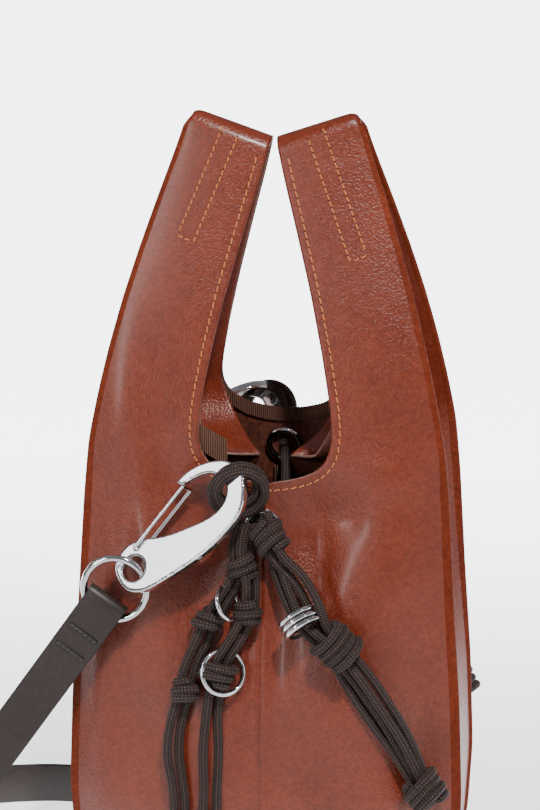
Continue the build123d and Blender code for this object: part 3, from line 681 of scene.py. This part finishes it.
def make_loops():
    """Nearly three turns of cord from each grommet round the hook's nose."""
    for face_name, face in FACES.items():
        centre = node_centre(f"{face_name}_cord_loop")
        normal = Vector((-math.sin(LOOP_SLOPE) * math.sin(LOOP_TILT), face * math.cos(LOOP_TILT),
                         math.cos(LOOP_SLOPE) * math.sin(LOOP_TILT)))
        across = Vector((math.cos(LOOP_SLOPE), 0, math.sin(LOOP_SLOPE)))
        up = normal.cross(across).normalized()
        grommet = node_centre(f"{face_name}_grommet")
        line = [grommet + Vector((0, -face * 6 * MM, 0)), grommet + Vector((0, face * 2 * MM, 0.5 * MM))]
        start = math.atan2((grommet - centre).dot(up), (grommet - centre).dot(across))
        for step in range(LOOP_STEPS + 1):
            share = step / LOOP_STEPS
            angle = start + share * LOOP_TURNS * FULL_TURN
            radius = (11.9 + 2.3 * math.cos(share * LOOP_TURNS * math.pi * 1.02)) * MM
            depth = (share - 0.5) * LOOP_DEPTH
            line.append(centre + across * (radius * math.cos(angle)) + up * (radius * math.sin(angle))
                        + normal * depth)
        line = spline_points([tuple(p) for p in line], 4)
        loop, path, length = braided_tube(f"{face_name}_cord_loop_braid", line, CORD_RADIUS)
        settle(loop, "cord", f"{face_name}_cord_loop")
        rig.cord(loop, exit=tuple(grommet), length=round(length, 3), diameter=2 * CORD_RADIUS,
                far_end="knot", stiffness="limp", lay="coiled", path=[tuple(p) for p in path])


knot_pieces = make_knots()
make_cords(knot_pieces)
make_loops()


# ---------------------------------------------------------------- shoulder strap
STRAP_SLOPES = {"front": 55.0, "back": 88.0}
# How far before the ground each end begins to bend
STRAP_BENDS = {"front": 55.0, "back": 30.0}
STRAP_HALF_WIDTH = 11.0 * MM
STRAP_HALF_THICKNESS = 1.05 * MM
STRAP_EDGE_RADIUS = 0.5 * MM
# The folded end: millimetres down from the ring's middle, and how far in towards the bag
STRAP_FOLD = ((44, 1.2), (33, 1.2), (23, 2.9), (13, 3.2), (5.8, 3.0), (5.8, -3.0), (13, -3.2), (23, -2.7),
              (34, -0.9), (60, 0.0))
# The turn along the ground, on edge, from the front end to the back end
STRAP_TURN = ((-252, -58), (-262, -30), (-248, 2), (-215, 30), (-170, 53), (-138, 62))
# Distance from either end beyond which the strap's width is upright
STRAP_UPRIGHT_FROM = 0.17


def strap_heading(face_name):
    """The way an end of the strap runs down from its ring."""
    slope = math.radians(STRAP_SLOPES[face_name])
    return Vector((-math.cos(slope), 0, -math.sin(slope)))


def strap_route():
    """Control points from behind the front ring, round it, down to the ground, round a turn on edge
    and up to the back ring."""
    ends = []
    for face_name, bend in STRAP_BENDS.items():
        ring = node_centre(f"{face_name}_ring")
        down = strap_heading(face_name)
        points = [ring + down * (along * MM) + Vector((0, -FACES[face_name] * aside * MM, 0))
                  for along, aside in STRAP_FOLD]
        reach = (ring.z - STRAP_HALF_WIDTH) / -down.z
        points.append(ring + down * (reach - bend * MM))
        points.append(ring + down * reach)
        points.append(ring + down * reach + Vector((-bend * 1.15 * MM, 0, 0)))
        ends.append(points)
    turn = [Vector((x * MM, y * MM, STRAP_HALF_WIDTH)) for x, y in STRAP_TURN]
    return [tuple(p) for p in ends[0] + turn + list(reversed(ends[1]))]


def strap_outline():
    """The strap's section: a flat rectangle with rounded corners, across and through the leather."""
    across, through = STRAP_HALF_WIDTH - STRAP_EDGE_RADIUS, STRAP_HALF_THICKNESS - STRAP_EDGE_RADIUS
    outline = []
    for corner, (x, y) in enumerate(((across, through), (-across, through), (-across, -through),
                                     (across, -through))):
        for angle in (0, 45, 90):
            turn = math.radians(90 * corner + angle)
            outline.append((x + STRAP_EDGE_RADIUS * math.cos(turn), y + STRAP_EDGE_RADIUS * math.sin(turn)))
    return outline


def make_strap():
    """Flat leather strap with rounded, painted edges, which lies on its edge along the ground."""
    line, length = resample(spline_points(strap_route(), 10), 1.6 * MM)
    tangents = np.gradient(line, axis=0)
    tangents /= np.linalg.norm(tangents, axis=1)[:, None]
    outline = strap_outline()
    vertices = []
    for index, (point, tangent) in enumerate(zip(line, tangents)):
        along_it = index * length / (len(line) - 1)
        heading = strap_heading("front" if along_it < length / 2 else "back")
        near_end = min(along_it, length - along_it)
        across = np.array([heading.z, 0.0, -heading.x])
        upright = np.array([0.0, 0.0, 1.0]) if near_end > STRAP_UPRIGHT_FROM else across
        width = upright - tangent * np.dot(upright, tangent)
        width = width / np.linalg.norm(width)
        normal = np.cross(width, tangent)
        vertices += [point + width * across + normal * aside for across, aside in outline]
    flat_sides = (2, 8)
    slots = [0 if side in flat_sides else 1 for side in range(len(outline))] * (len(line) - 1) + [1, 1]
    strap = make_mesh("shoulder_strap_leather", vertices, tube_faces(len(line), len(outline)),
                      [STRAP_LEATHER, STRAP_EDGE], face_slots=slots)
    settle(strap, "strap_leather", "shoulder_strap")
    contact = node_centre("front_ring") + strap_heading("front") * 17 * MM
    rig.cord(strap, exit=tuple(contact), length=round(length, 3), diameter=2 * STRAP_HALF_WIDTH,
            far_end="object", stiffness="medium", lay="loose", path=[tuple(p) for p in line])


def make_strap_stitches():
    """Two sewn slots across each end of the strap, each a dark rod in the edge paint's colour: the slot's painted
    edges, and painted shade in its opening.
    """
    for face_name, face in FACES.items():
        down = strap_heading(face_name)
        across = Vector((down.z, 0, -down.x))
        ring = node_centre(f"{face_name}_ring")
        grooves, threads = [], []
        for along, surface in ((28.5, 3.05), (41.0, 1.95)):
            middle = ring + down * along * MM + Vector((0, face * surface * MM, 0))
            # Painted shade: a dark rod on the surface stands in for the slot's recess
            grooves.append((middle - across * 8.7 * MM, middle + across * 8.7 * MM))
            for index in range(6):
                start = middle + across * (-8.2 + 2.8 * index) * MM + Vector((0, face * 0.45 * MM, 0))
                threads.append((start, start + across * 2.3 * MM + down * 0.5 * MM))
        for kind, pairs, radius, material in (("slot", grooves, 0.8, STRAP_EDGE),
                                              ("thread", threads, 0.5, STRAP_THREAD)):
            piece = capsules(f"{face_name}_strap_{kind}", pairs, radius * MM, material)
            settle(piece, "strap_leather")


def capsules(name, pairs, radius, material, sides=8):
    """Short round-ended lengths, such as stitches, joined in one mesh."""
    vertices, faces = [], []
    # Rings of one length: place, with 0 to 0.5 at its start and 1 to 1.5 at its end, and share of radius
    rings = ((0.0, 0.35), (0.25, 0.85), (0.5, 1.0), (1.0, 1.0), (1.25, 0.85), (1.5, 0.35))
    for start, end in pairs:
        path = Vector(end) - Vector(start)
        length = path.length
        along = path.normalized()
        across = along.orthogonal().normalized()
        up = along.cross(across)
        base = len(vertices)
        for place, size in rings:
            reach = min(place * 2 * radius, radius) if place < 0.75 else length - (1.5 - place) * 2 * radius
            for side in range(sides):
                angle = FULL_TURN * side / sides
                vertices.append(Vector(start) + along * reach
                                + (across * math.cos(angle) + up * math.sin(angle)) * radius * size)
        faces += tube_faces(len(rings), sides, base)
    return make_mesh(name, vertices, faces, [material])


make_strap()
make_strap_stitches()


# ---------------------------------------------------------------- leather body and handles
# Height and value in millimetres: half width at the outer fold, depth at the middle of a panel, depth at
# the outer fold, and how far out the gusset's crease lies
WIDTH_BY_HEIGHT = ((0, 97.5), (20, 100.5), (56, 102.5), (108, 100.5), (159, 96.8), (211, 93.7), (240, 91.0),
                   (263, 86.4), (285, 81.4), (311, 74.6), (335, 67.3), (360, 59.0), (384, 50.8), (407, 43.6))
DEPTH_BY_HEIGHT = ((0, 55), (20, 58.5), (56, 60), (108, 57), (159, 50), (211, 42), (240, 39.6), (263, 37),
                   (285, 33.5), (311, 28), (335, 21.5), (360, 15.0), (384, 9.5), (394, 7.0), (407, 6.6))
FOLD_BY_HEIGHT = ((0, 38), (56, 41), (108, 40), (159, 38), (211, 36), (240, 35.5), (263, 34), (285, 31),
                  (311, 26), (335, 20), (360, 14), (384, 9), (394, 6.8), (407, 6.4))
CREASE_BY_HEIGHT = ((0, 96.5), (40, 98), (70, 95), (108, 80), (140, 61), (159, 48), (190, 26), (211, 14),
                    (226, 8))
# Inner edge in x and z: up the centre seam, along the rim of the mouth and up the handle
NECK_EDGE = ((0, 0), (0, 222.6), (9, 223), (20, 225), (28, 229.5), (33, 237), (34, 246), (33.5, 256),
             (31.5, 269), (28, 288), (21.5, 317), (13, 348), (6.5, 371), (1.2, 392))
BACK_EDGE = ((0, 0), (0, 240), (10, 240.6), (20, 243), (28.5, 248), (33, 255), (33, 264), (31.5, 272),
             (28, 290), (21.5, 317), (13, 348), (6.5, 371), (1.2, 392))
# Inner edges of a handle, in height and x: its outer layer's, for its swelling, and its inner layer's
STRAP_INNER = ((250, 33.5), (290, 28), (320, 21), (350, 12.5), (371, 6.5), (392, 1.2))
FACING_EDGE = ((240, 34.5), (256, 33.5), (290, 27.6), (317, 21.5), (348, 13), (371, 6.5), (392, 1.2))
TOP_CENTRE = 393.0
TOP_CORNER = 406.0
GUSSET_TOP = 226.0
WING_TOP = 262.0
LAYER = 2.9


def unit(value):
    """The value, held between 0 and 1."""
    return min(max(value, 0.0), 1.0)


def soften(points, passes, keep=0):
    """Even out a line's corners; the last points may be kept."""
    last = len(points) - 1 - keep
    for _ in range(passes):
        points[1:last] = (points[:last - 1] + 2 * points[1:last] + points[2:last + 1]) / 4
    return points


def by_height(table, height):
    """The value at a height, in a straight line between the table's rows."""
    heights, values = zip(*table)
    return float(np.interp(height, heights, values))


def smooth_table(table):
    """The table resampled finely and softened, so that no kink shows."""
    heights = np.arange(table[0][0], table[-1][0] + 1, 2.0)
    return list(zip(heights, soften(np.interp(heights, *zip(*table)), 14)))


WIDTHS = smooth_table(WIDTH_BY_HEIGHT)
DEPTHS = smooth_table(DEPTH_BY_HEIGHT)
FOLDS = smooth_table(FOLD_BY_HEIGHT)
CREASES = smooth_table(CREASE_BY_HEIGHT)

# Soft dents and swellings of the panels: x, z, spread in x, spread in z, how far out, for front and back
DENTS = {
    -1: ((24, 198, 15, 24, -8.0), (-30, 196, 15, 34, -7.0), (-60, 160, 18, 44, 4.5), (40, 112, 26, 36, 4.5),
         (62, 178, 18, 46, 3.5), (-72, 236, 12, 60, 2.5), (-22, 80, 16, 40, 3.5), (80, 90, 14, 40, -3.5),
         (-62, 92, 16, 24, -4.0), (10, 152, 7, 30, -4.0), (-10, 158, 7, 26, -3.0), (44, 206, 9, 12, -2.5),
         (56, 228, 16, 14, 2.0), (-50, 226, 10, 20, -2.0), (70, 60, 12, 50, 3.0), (28, 172, 8, 20, -3.5),
         (-84, 120, 7, 60, 2.5), (-70, 190, 6, 40, -2.0)),
    1: ((20, 205, 18, 28, -5.0), (-28, 190, 16, 30, -4.0), (-50, 120, 24, 36, 3.0), (44, 130, 24, 40, 3.0),
        (66, 200, 16, 44, 2.5), (-66, 226, 14, 50, 2.0), (4, 90, 16, 44, 2.0)),
}


def panel_point(side, face, x, z):
    """A point on the outside of the front or back panel, or of a handle's strap."""
    width = by_height(WIDTHS, z)
    depth = by_height(DEPTHS, z)
    fold = by_height(FOLDS, z)
    share = unit(x / max(width, 1.0))
    flat = depth - (depth - fold) * share ** 2.6
    below_rim = unit((GUSSET_TOP - z) / 8.0)
    seam = below_rim * (2.3 * math.exp(-((x / 2.6) ** 2)) - 1.2 * math.exp(-((x / 0.8) ** 2)))
    crown = 2.4 * math.sin(math.pi * unit((x - 2.0) / max(width - 2.0, 1)))
    crown *= unit((WING_TOP - z) / 90.0)
    strap = unit((z - 240.0) / 60.0)
    inner = by_height(STRAP_INNER, z)
    middle = unit((x - inner) / max(width - inner, 1.0))
    flat += strap * 1.8 * math.sin(math.pi * middle) - 0.4 * strap
    for at_x, at_z, spread_x, spread_z, out in DENTS[face]:
        away = ((side * x - at_x) / spread_x) ** 2 + ((z - at_z) / spread_z) ** 2
        if away < 9:
            flat += out * math.exp(-away)
    return Vector((side * x, face * (flat + seam + crown), z)) * MM


# Rows from the ground to a handle's crown, the last of them over its arch; columns across each layer
ROWS = 158
ARCH_ROWS = 10
ARCH_REACH = 6.5
COLUMNS = 30
FOLD_STEPS = 5
FOLD_RADIUS = 1.5
CORNER_RADIUS = 4.5


def boundary(edge, parts, arch=False):
    """Places along an edge's polyline, softened at its corners and close together where the leather
    arches over a handle's top."""
    line = np.array(edge, float)
    reach = distances_along(line)
    places = np.linspace(0, reach[-1], parts)
    if arch:
        turn = np.sin(np.linspace(0, math.pi / 2, ARCH_ROWS + 1))[1:]
        start = reach[-1] - ARCH_REACH
        places = np.concatenate([np.linspace(0, start, parts - ARCH_ROWS), start + ARCH_REACH * turn])
    return soften(points_at(places, reach, line), 5, ARCH_ROWS + 2 if arch else 0)


def arch_share(row):
    """0 below a handle's top arch, rising to 1 at its crown."""
    turn = max(row - (ROWS - 1 - ARCH_ROWS), 0) / ARCH_ROWS
    return math.sin(turn * math.pi / 2)


def corner_drop(row, share):
    """How far a handle's top outer corner is rounded down."""
    across = unit((share - 0.84) / 0.16)
    near_top = unit((row - (ROWS - 36)) / 34)
    return CORNER_RADIUS * (1 - math.sqrt(1 - across ** 2)) * near_top ** 2


def outer_heights(edge_points, edge):
    """The height on the outer fold that goes with each place on the inner edge."""
    rim = edge[1][1]
    heights = []
    for x, z in edge_points:
        along = (z - rim) / (TOP_CENTRE - 1.0 - rim)
        if z <= rim and x < 0.5:
            heights.append(z * 0.98)
        else:
            heights.append(rim * 0.98 + (TOP_CORNER - rim * 0.98) * unit(along) ** 0.86)
    return soften(np.array(heights), 8, ARCH_ROWS + 2)


def inner_target(face, z, fold_z):
    """Where the leather goes after the outer fold: to the gusset's crease below the mouth, along the
    gusset's free edge through the mouth, and back to the strap's own edge in the handle."""
    if fold_z <= GUSSET_TOP:
        return Vector((by_height(CREASES, fold_z), 0.0, fold_z))
    share = min((fold_z - GUSSET_TOP) / (WING_TOP - GUSSET_TOP), 1.0)
    strap_depth = by_height(DEPTHS, z) - LAYER
    ease = share ** 0.8
    crease_x = 8.0
    reach_x = crease_x + (by_height(FACING_EDGE, z) + 0.6 - crease_x) * ease
    reach_y = strap_depth * ease ** 1.1
    reach_z = GUSSET_TOP + (max(z, 240.0) - GUSSET_TOP) * ease if share < 1.0 else z
    return Vector((reach_x, face * reach_y, reach_z))


class SheetRow:
    """One row of leather, from a panel's inner edge over the outer fold to the gusset or facing."""

    def __init__(self, side, face, row, inner_edge, z_out):
        self.side, self.face, self.row = side, face, row
        self.x_in, self.z_in = inner_edge
        self.z_out = z_out
        self.x_out = by_height(WIDTHS, z_out)
        self.arch = arch_share(row)
        self.flatten = math.sqrt(max(1 - self.arch ** 2, 0.0))

    def outside(self):
        """The panel, or the handle's outer layer."""
        for column in range(COLUMNS + 1):
            share = column / COLUMNS
            x = self.x_in + (self.x_out - FOLD_RADIUS - self.x_in) * share
            z = self.z_in + (self.z_out - self.z_in) * share
            point = panel_point(self.side, self.face, x, z)
            point.y *= self.flatten
            point.z -= corner_drop(self.row, share) * MM
            yield point

    def fold(self, depth):
        """The round outer fold, from this depth inwards."""
        drop = corner_drop(self.row, 1.0)
        for step in range(1, FOLD_STEPS + 1):
            turn = math.pi * step / (FOLD_STEPS + 1)
            down = drop + LAYER * self.arch * (1 - math.cos(turn)) / 2
            bulge = FOLD_RADIUS * math.sin(turn) * (1 - 0.6 * self.arch)
            y = max(depth - FOLD_RADIUS * (1 - math.cos(turn)) * self.flatten, 0)
            yield Vector((self.side * (self.x_out - FOLD_RADIUS + bulge), self.face * y,
                          self.z_out - down)) * MM

    def inside(self, depth):
        """The gusset below the mouth, and the handle's inner layer above it."""
        target = inner_target(self.face, self.z_in, self.z_out)
        start_y = max(depth - 2 * FOLD_RADIUS * self.flatten, 0.0)
        for column in range(COLUMNS + 1):
            share = column / COLUMNS
            x = (self.x_out - FOLD_RADIUS) + (target.x - self.x_out + FOLD_RADIUS) * share
            z = self.z_out + (target.z - self.z_out) * share
            y = start_y + (abs(target.y) - start_y) * share
            if self.z_out > GUSSET_TOP:
                strap_share = min((self.z_out - GUSSET_TOP) / 40.0, 1.0)
                outside = abs(panel_point(self.side, self.face, max(x, 0.0), z).y) / MM
                y = y * (1 - strap_share) + max(outside - LAYER, 0.2) * strap_share
                y *= self.flatten
                z -= LAYER * self.arch + corner_drop(self.row, 1 - share)
            else:
                y += 2.0 * math.sin(math.pi * share)
            yield Vector((self.side * x, self.face * y, z)) * MM

    def points(self):
        """The whole row, in order."""
        outside = list(self.outside())
        depth = abs(outside[-1].y) / MM
        return [*outside, *self.fold(depth), *self.inside(depth)]


def half_sheet(side):
    """One half of the bag: front panel and strap, fold, gusset and facing, then the same at the back."""
    vertices, faces, slots = [], [], []
    for face, edge in ((-1, NECK_EDGE), (1, BACK_EDGE)):
        edge_points = boundary(edge, ROWS, arch=True)
        heights = outer_heights(edge_points, edge)
        for row in range(ROWS):
            vertices += SheetRow(side, face, row, edge_points[row], heights[row]).points()
    width = len(vertices) // (2 * ROWS)
    for block in (0, 1):
        for row in range(ROWS - 1):
            low = (block * ROWS + row) * width
            high = low + width
            for column in range(width - 1):
                quad = (low + column, low + column + 1, high + column + 1, high + column)
                faces.append(quad if (side > 0) == (block == 0) else tuple(reversed(quad)))
                # Slot 3 on the outer fold: the darker, duller leather that paints shade against its bright reflection
                slots.append(3 if COLUMNS - 1 <= column <= COLUMNS + FOLD_STEPS + 1 else 0)
    return vertices, faces, slots


def make_half(side_name, side):
    """The half's sheet with its thickness. Its flesh side and cut edges take the slots after each face's."""
    vertices, faces, slots = half_sheet(side)
    sheet = make_mesh(f"{side_name}_leather", vertices, faces,
                      [LEATHER, FLESH, RAW_EDGE, FOLD_DIMMED_LEATHER, FLESH, RAW_EDGE], face_slots=slots)
    bm = bmesh.new()
    bm.from_mesh(sheet.data)
    bmesh.ops.remove_doubles(bm, verts=bm.verts, dist=0.12 * MM)
    bm.to_mesh(sheet.data)
    bm.free()
    thick = sheet.modifiers.new("thickness", "SOLIDIFY")
    thick.thickness = 1.3 * MM
    thick.offset = -1.0
    thick.use_even_offset = False
    thick.material_offset = 1
    thick.material_offset_rim = 2
    bpy.context.view_layer.update()
    evaluated = bpy.data.meshes.new_from_object(sheet.evaluated_get(bpy.context.evaluated_depsgraph_get()))
    sheet.modifiers.clear()
    sheet.data = evaluated
    return sheet


def finish_leather(piece, side_name, side):
    """Bend the piece over a stretch of the body when the handle leans."""
    start, end = (side * 0.085, 0.0, 0.215), (side * 0.078, 0.0, 0.275)
    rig.blend(piece, "root", f"{side_name}_handle", start, end)
    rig.slot(piece, "leather")


def edge_line(side, face, edge, inset, low, high):
    """A line on the outside of a panel that keeps a set distance from its inner edge."""
    line = np.array(edge, float)
    reach = distances_along(line)
    points = soften(points_at(np.arange(reach[1] + 0.5, reach[-1] - 1.0, 1.0), reach, line), 30)
    steps = np.gradient(points, axis=0)
    steps /= np.linalg.norm(steps, axis=1)[:, None]
    moved = points + np.stack([steps[:, 1], -steps[:, 0]], axis=1) * inset
    return [panel_point(side, face, x, z) for x, z in moved if low < z < high and x > 0.4]


def stitch_pairs(line, out, pitch=4.2, length=3.4, lean=0.12):
    """Start and end of each stitch along a line, and of the dark mark that paints the shade in each needle hole; out
    points off the leather.
    """
    line, total = resample([tuple(p) for p in line], 0.7 * MM)
    count = int(total / (pitch * MM))
    reach = np.linspace(0, total, len(line))
    pairs, holes = [], []
    lift = Vector(out) * 0.12 * MM
    for index in range(count):
        at = (index + 0.1) * pitch * MM
        ends = [Vector(point) for point in points_at((at, at + length * MM), reach, line)]
        aside = (ends[1] - ends[0]).cross(Vector(out)).normalized() * (lean * length * MM / 2)
        pairs.append((ends[0] + lift + aside, ends[1] + lift - aside))
        gap = (ends[1] - ends[0]).normalized() * 0.45 * MM
        holes.append((ends[1] + gap * 0.3 - aside, ends[1] + gap * 1.7 - aside))
    return pairs, holes


def make_stitches(side_name, side):
    """A row beside each inner edge, and the box sewn down each end of the handle, with painted shade for each needle
    hole.
    """
    pairs, holes = [], []
    for face, edge in ((-1, NECK_EDGE), (1, BACK_EDGE)):
        line = edge_line(side, face, edge, 4.4, 200.0, 384.0)
        more, dots = stitch_pairs(line, (0, face, 0))
        pairs += more
        holes += dots
        for corners in box_corners(side):
            line = [panel_point(side, face, x, z) for x, z in corners]
            more, dots = stitch_pairs(line, (0, face, 0), 3.6, 2.8)
            pairs += more
            holes += dots
    threads = capsules(f"{side_name}_stitching", pairs, 0.36 * MM, THREAD)
    # Painted shade: a dark capsule at each needle hole
    dots = capsules(f"{side_name}_painted_hole_shades", holes, 0.42 * MM, HOLE_SHADE)
    for piece in (threads, dots):
        finish_leather(piece, side_name, side)


def box_corners(side):
    """The long narrow box sewn from a handle's top down its middle, as finely divided sides."""
    top, half = Vector((21.0, 396.5)), 4.4
    end = Vector((42.6, 342.4)) if side < 0 else Vector((45.0, 335.0))
    along = (end - top).normalized()
    across = Vector((-along.y, along.x)) * half
    corners = [top + across, end + across, end - across, top - across]
    for first, last in zip(corners, corners[1:]):
        steps = max(int((last - first).length / 2), 2)
        yield [tuple(first.lerp(last, step / steps)) for step in range(steps + 1)]


for side_name, side in SIDES.items():
    half = make_half(side_name, side)
    finish_leather(half, side_name, side)
    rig.replaces(half, f"{side_name}_half", f"{side_name}_handle", f"{side_name}_handle_facing")
    make_stitches(side_name, side)


# ---------------------------------------------------------------- ribbon inside the neck, grommet rims
def make_ribbon_band():
    """Ribbon along the inside of the back rim, with a cut edge that shows its ribs."""
    points = boundary(BACK_EDGE[1:7], 60)
    line = [(-x, z) for x, z in reversed(points)] + [(x, z) for x, z in points]
    vertices, faces = [], []
    rows = (0.9, -1.5, -4.0, -6.5)
    for index, (x, z) in enumerate(line):
        outside = panel_point(1 if x >= 0 else -1, 1, abs(x), z)
        notch = 0.35 if index % 2 else 0.0
        for row, drop in enumerate(rows):
            height = drop + (notch if row == 0 else 0.0)
            for layer in (1.5, 2.1):
                vertices.append(Vector((x * MM, outside.y - layer * MM, (z + height) * MM)))
    count = 2 * len(rows)
    for index in range(len(line) - 1):
        low, high = index * count, (index + 1) * count
        for row in range(len(rows) - 1):
            a, b = 2 * row, 2 * row + 2
            faces.append((low + a, high + a, high + b, low + b))
            faces.append((low + a + 1, low + b + 1, high + b + 1, high + a + 1))
        faces.append((low, low + 1, high + 1, high))
        faces.append((low + count - 2, high + count - 2, high + count - 1, low + count - 1))
    band = make_mesh("neck_ribbon_band", vertices, faces, [RIBBON], smooth=False)
    settle(band, "ribbon", "neck_ribbon")


def make_ribbon_patch():
    """A folded end of ribbon sewn inside the front left of the neck."""
    rows, columns = 5, 9
    corner_x, corner_z, width, row_height, slope = 34.5, 251.0, 15.0, 3.4, 0.55
    vertices, faces = [], []
    for row in range(rows):
        for column in range(columns):
            x = corner_x - width * column / (columns - 1)
            z = corner_z - row_height * row - slope * (corner_x - x)
            outside = abs(panel_point(-1, -1, max(x, 20.0), z).y) / MM
            lift = 2.4 + 0.3 * math.sin(math.pi * row / (rows - 1)) + 0.08 * (corner_x - x)
            vertices.append(Vector((-x, -(outside - lift), z)) * MM)
    for row in range(rows - 1):
        for column in range(columns - 1):
            low, high = row * columns + column, (row + 1) * columns + column
            faces.append((low, low + 1, high + 1, high))
    patch = make_mesh("neck_ribbon_end", vertices, faces, [RIBBON], smooth=False)
    thick = patch.modifiers.new("thickness", "SOLIDIFY")
    thick.thickness = 0.6 * MM
    settle(patch, "ribbon")


def make_grommet_rims():
    """Rolled metal rims on both sides of each grommet."""
    for face_name in FACES:
        grommet, washer = node_centre(f"{face_name}_grommet"), node_centre(f"{face_name}_grommet_washer")
        axis = (grommet - washer).normalized()
        across = axis.orthogonal().normalized()
        up = axis.cross(across)
        for place, aside in ((grommet + axis * 1.3 * MM, "outer"), (washer - axis * 0.9 * MM, "inner")):
            ring = [place + (across * math.cos(turn) + up * math.sin(turn)) * 8.3 * MM
                    for turn in np.linspace(0, FULL_TURN, 65)]
            rim = wire_ring(f"{face_name}_grommet_{aside}_rim", ring, 1.75 * MM, CHROME)
            settle(rim, "chrome")


make_ribbon_band()
make_ribbon_patch()
make_grommet_rims()


# ---------------------------------------------------------------- hardware and hidden parts
def dress(name, material):
    """Give a CAD node its material."""
    materials = nodes[name].data.materials
    materials.clear()
    materials.append(material)


def round_off(name, passes):
    """Soften a CAD node's edges, as on a casting."""
    even = nodes[name].modifiers.new("even_mesh", "REMESH")
    even.mode = "VOXEL"
    even.voxel_size = 0.4 * MM
    even.use_smooth_shade = True
    rounding = nodes[name].modifiers.new("rounding", "SMOOTH")
    rounding.factor = 0.5
    rounding.iterations = passes


for face_name in FACES:
    for kind in ("hook", "hook_gate", "ring", "grommet", "grommet_washer"):
        dress(f"{face_name}_{kind}", CHROME)
    round_off(f"{face_name}_hook", 26)
    dress(f"{face_name}_seam_tape", RIBBON)
for name in ("coil_rings", "tassel_ring_small", "tassel_ring_large"):
    dress(name, CHROME)
dress("base_panel", LEATHER)
dress("base_board", FLESH)
for side_name in SIDES:
    dress(f"{side_name}_handle_core", RIBBON)


# ---------------------------------------------------------------- studio
def add_light(name, place, target, size, power, colour=(1, 1, 1), tall=None):
    data = bpy.data.lights.new(name, "AREA")
    data.shape = "RECTANGLE" if tall else "DISK"
    data.size = size
    if tall:
        data.size_y = tall
    data.energy = power
    data.color = colour
    lamp = bpy.data.objects.new(name, data)
    lamp.location = place
    lamp.rotation_euler = (Vector(target) - Vector(place)).to_track_quat("-Z", "Y").to_euler()
    bpy.context.collection.objects.link(lamp)


def add_studio():
    """Floor, banded surroundings that the metal mirrors, and four area lights."""
    floor = make_mesh("floor", [(-9, -6, -0.0003), (9, -6, -0.0003), (9, 14, -0.0003), (-9, 14, -0.0003)],
                      [(0, 1, 2, 3)], [FLOOR], smooth=False)
    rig.stage(floor)
    world = bpy.data.worlds.new("studio")
    world.use_nodes = True
    tree = world.node_tree
    place = tree.nodes.new("ShaderNodeTexCoord")
    split = tree.nodes.new("ShaderNodeSeparateXYZ")
    bands = tree.nodes.new("ShaderNodeValToRGB")
    stops = ((0.0, 0.3), (0.42, 0.22), (0.52, 0.05), (0.6, 0.75), (0.7, 0.08), (0.85, 0.55), (1.0, 0.3))
    while len(bands.color_ramp.elements) < len(stops):
        bands.color_ramp.elements.new(0.5)
    for element, (at, value) in zip(bands.color_ramp.elements, stops):
        element.position = at
        element.color = (value * 0.95, value * 0.97, value, 1.0)
    scaled = tree.nodes.new("ShaderNodeMapRange")
    scaled.inputs["From Min"].default_value = -1.0
    tree.links.new(place.outputs["Generated"], split.inputs[0])
    tree.links.new(split.outputs["Z"], scaled.inputs["Value"])
    tree.links.new(scaled.outputs["Result"], bands.inputs["Fac"])
    tree.links.new(bands.outputs["Color"], tree.nodes["Background"].inputs["Color"])
    tree.nodes["Background"].inputs["Strength"].default_value = 0.5
    bpy.context.scene.world = world
    add_light("key", (0.42, -1.1, 1.75), (0, 0, 0.2), 0.12, 37, (1, 0.98, 0.96))
    add_light("left_strip", (-0.78, -1.28, 0.62), (-0.05, 0, 0.3), 0.16, 6.5, tall=0.8)
    add_light("left_box", (-1.0, -0.48, 0.84), (-0.04, -0.05, 0.2), 0.32, 0.7)
    add_light("right_edge", (1.0, -0.8, 0.6), (0.08, 0, 0.25), 0.2, 1.0, tall=0.7)


add_studio()

with open("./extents.json", "w") as report:
    visual_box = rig.bounds()
    json.dump({"cad": [list(map(float, corner)) for corner in cad_box],
               "visual": [list(map(float, corner)) for corner in visual_box]}, report)
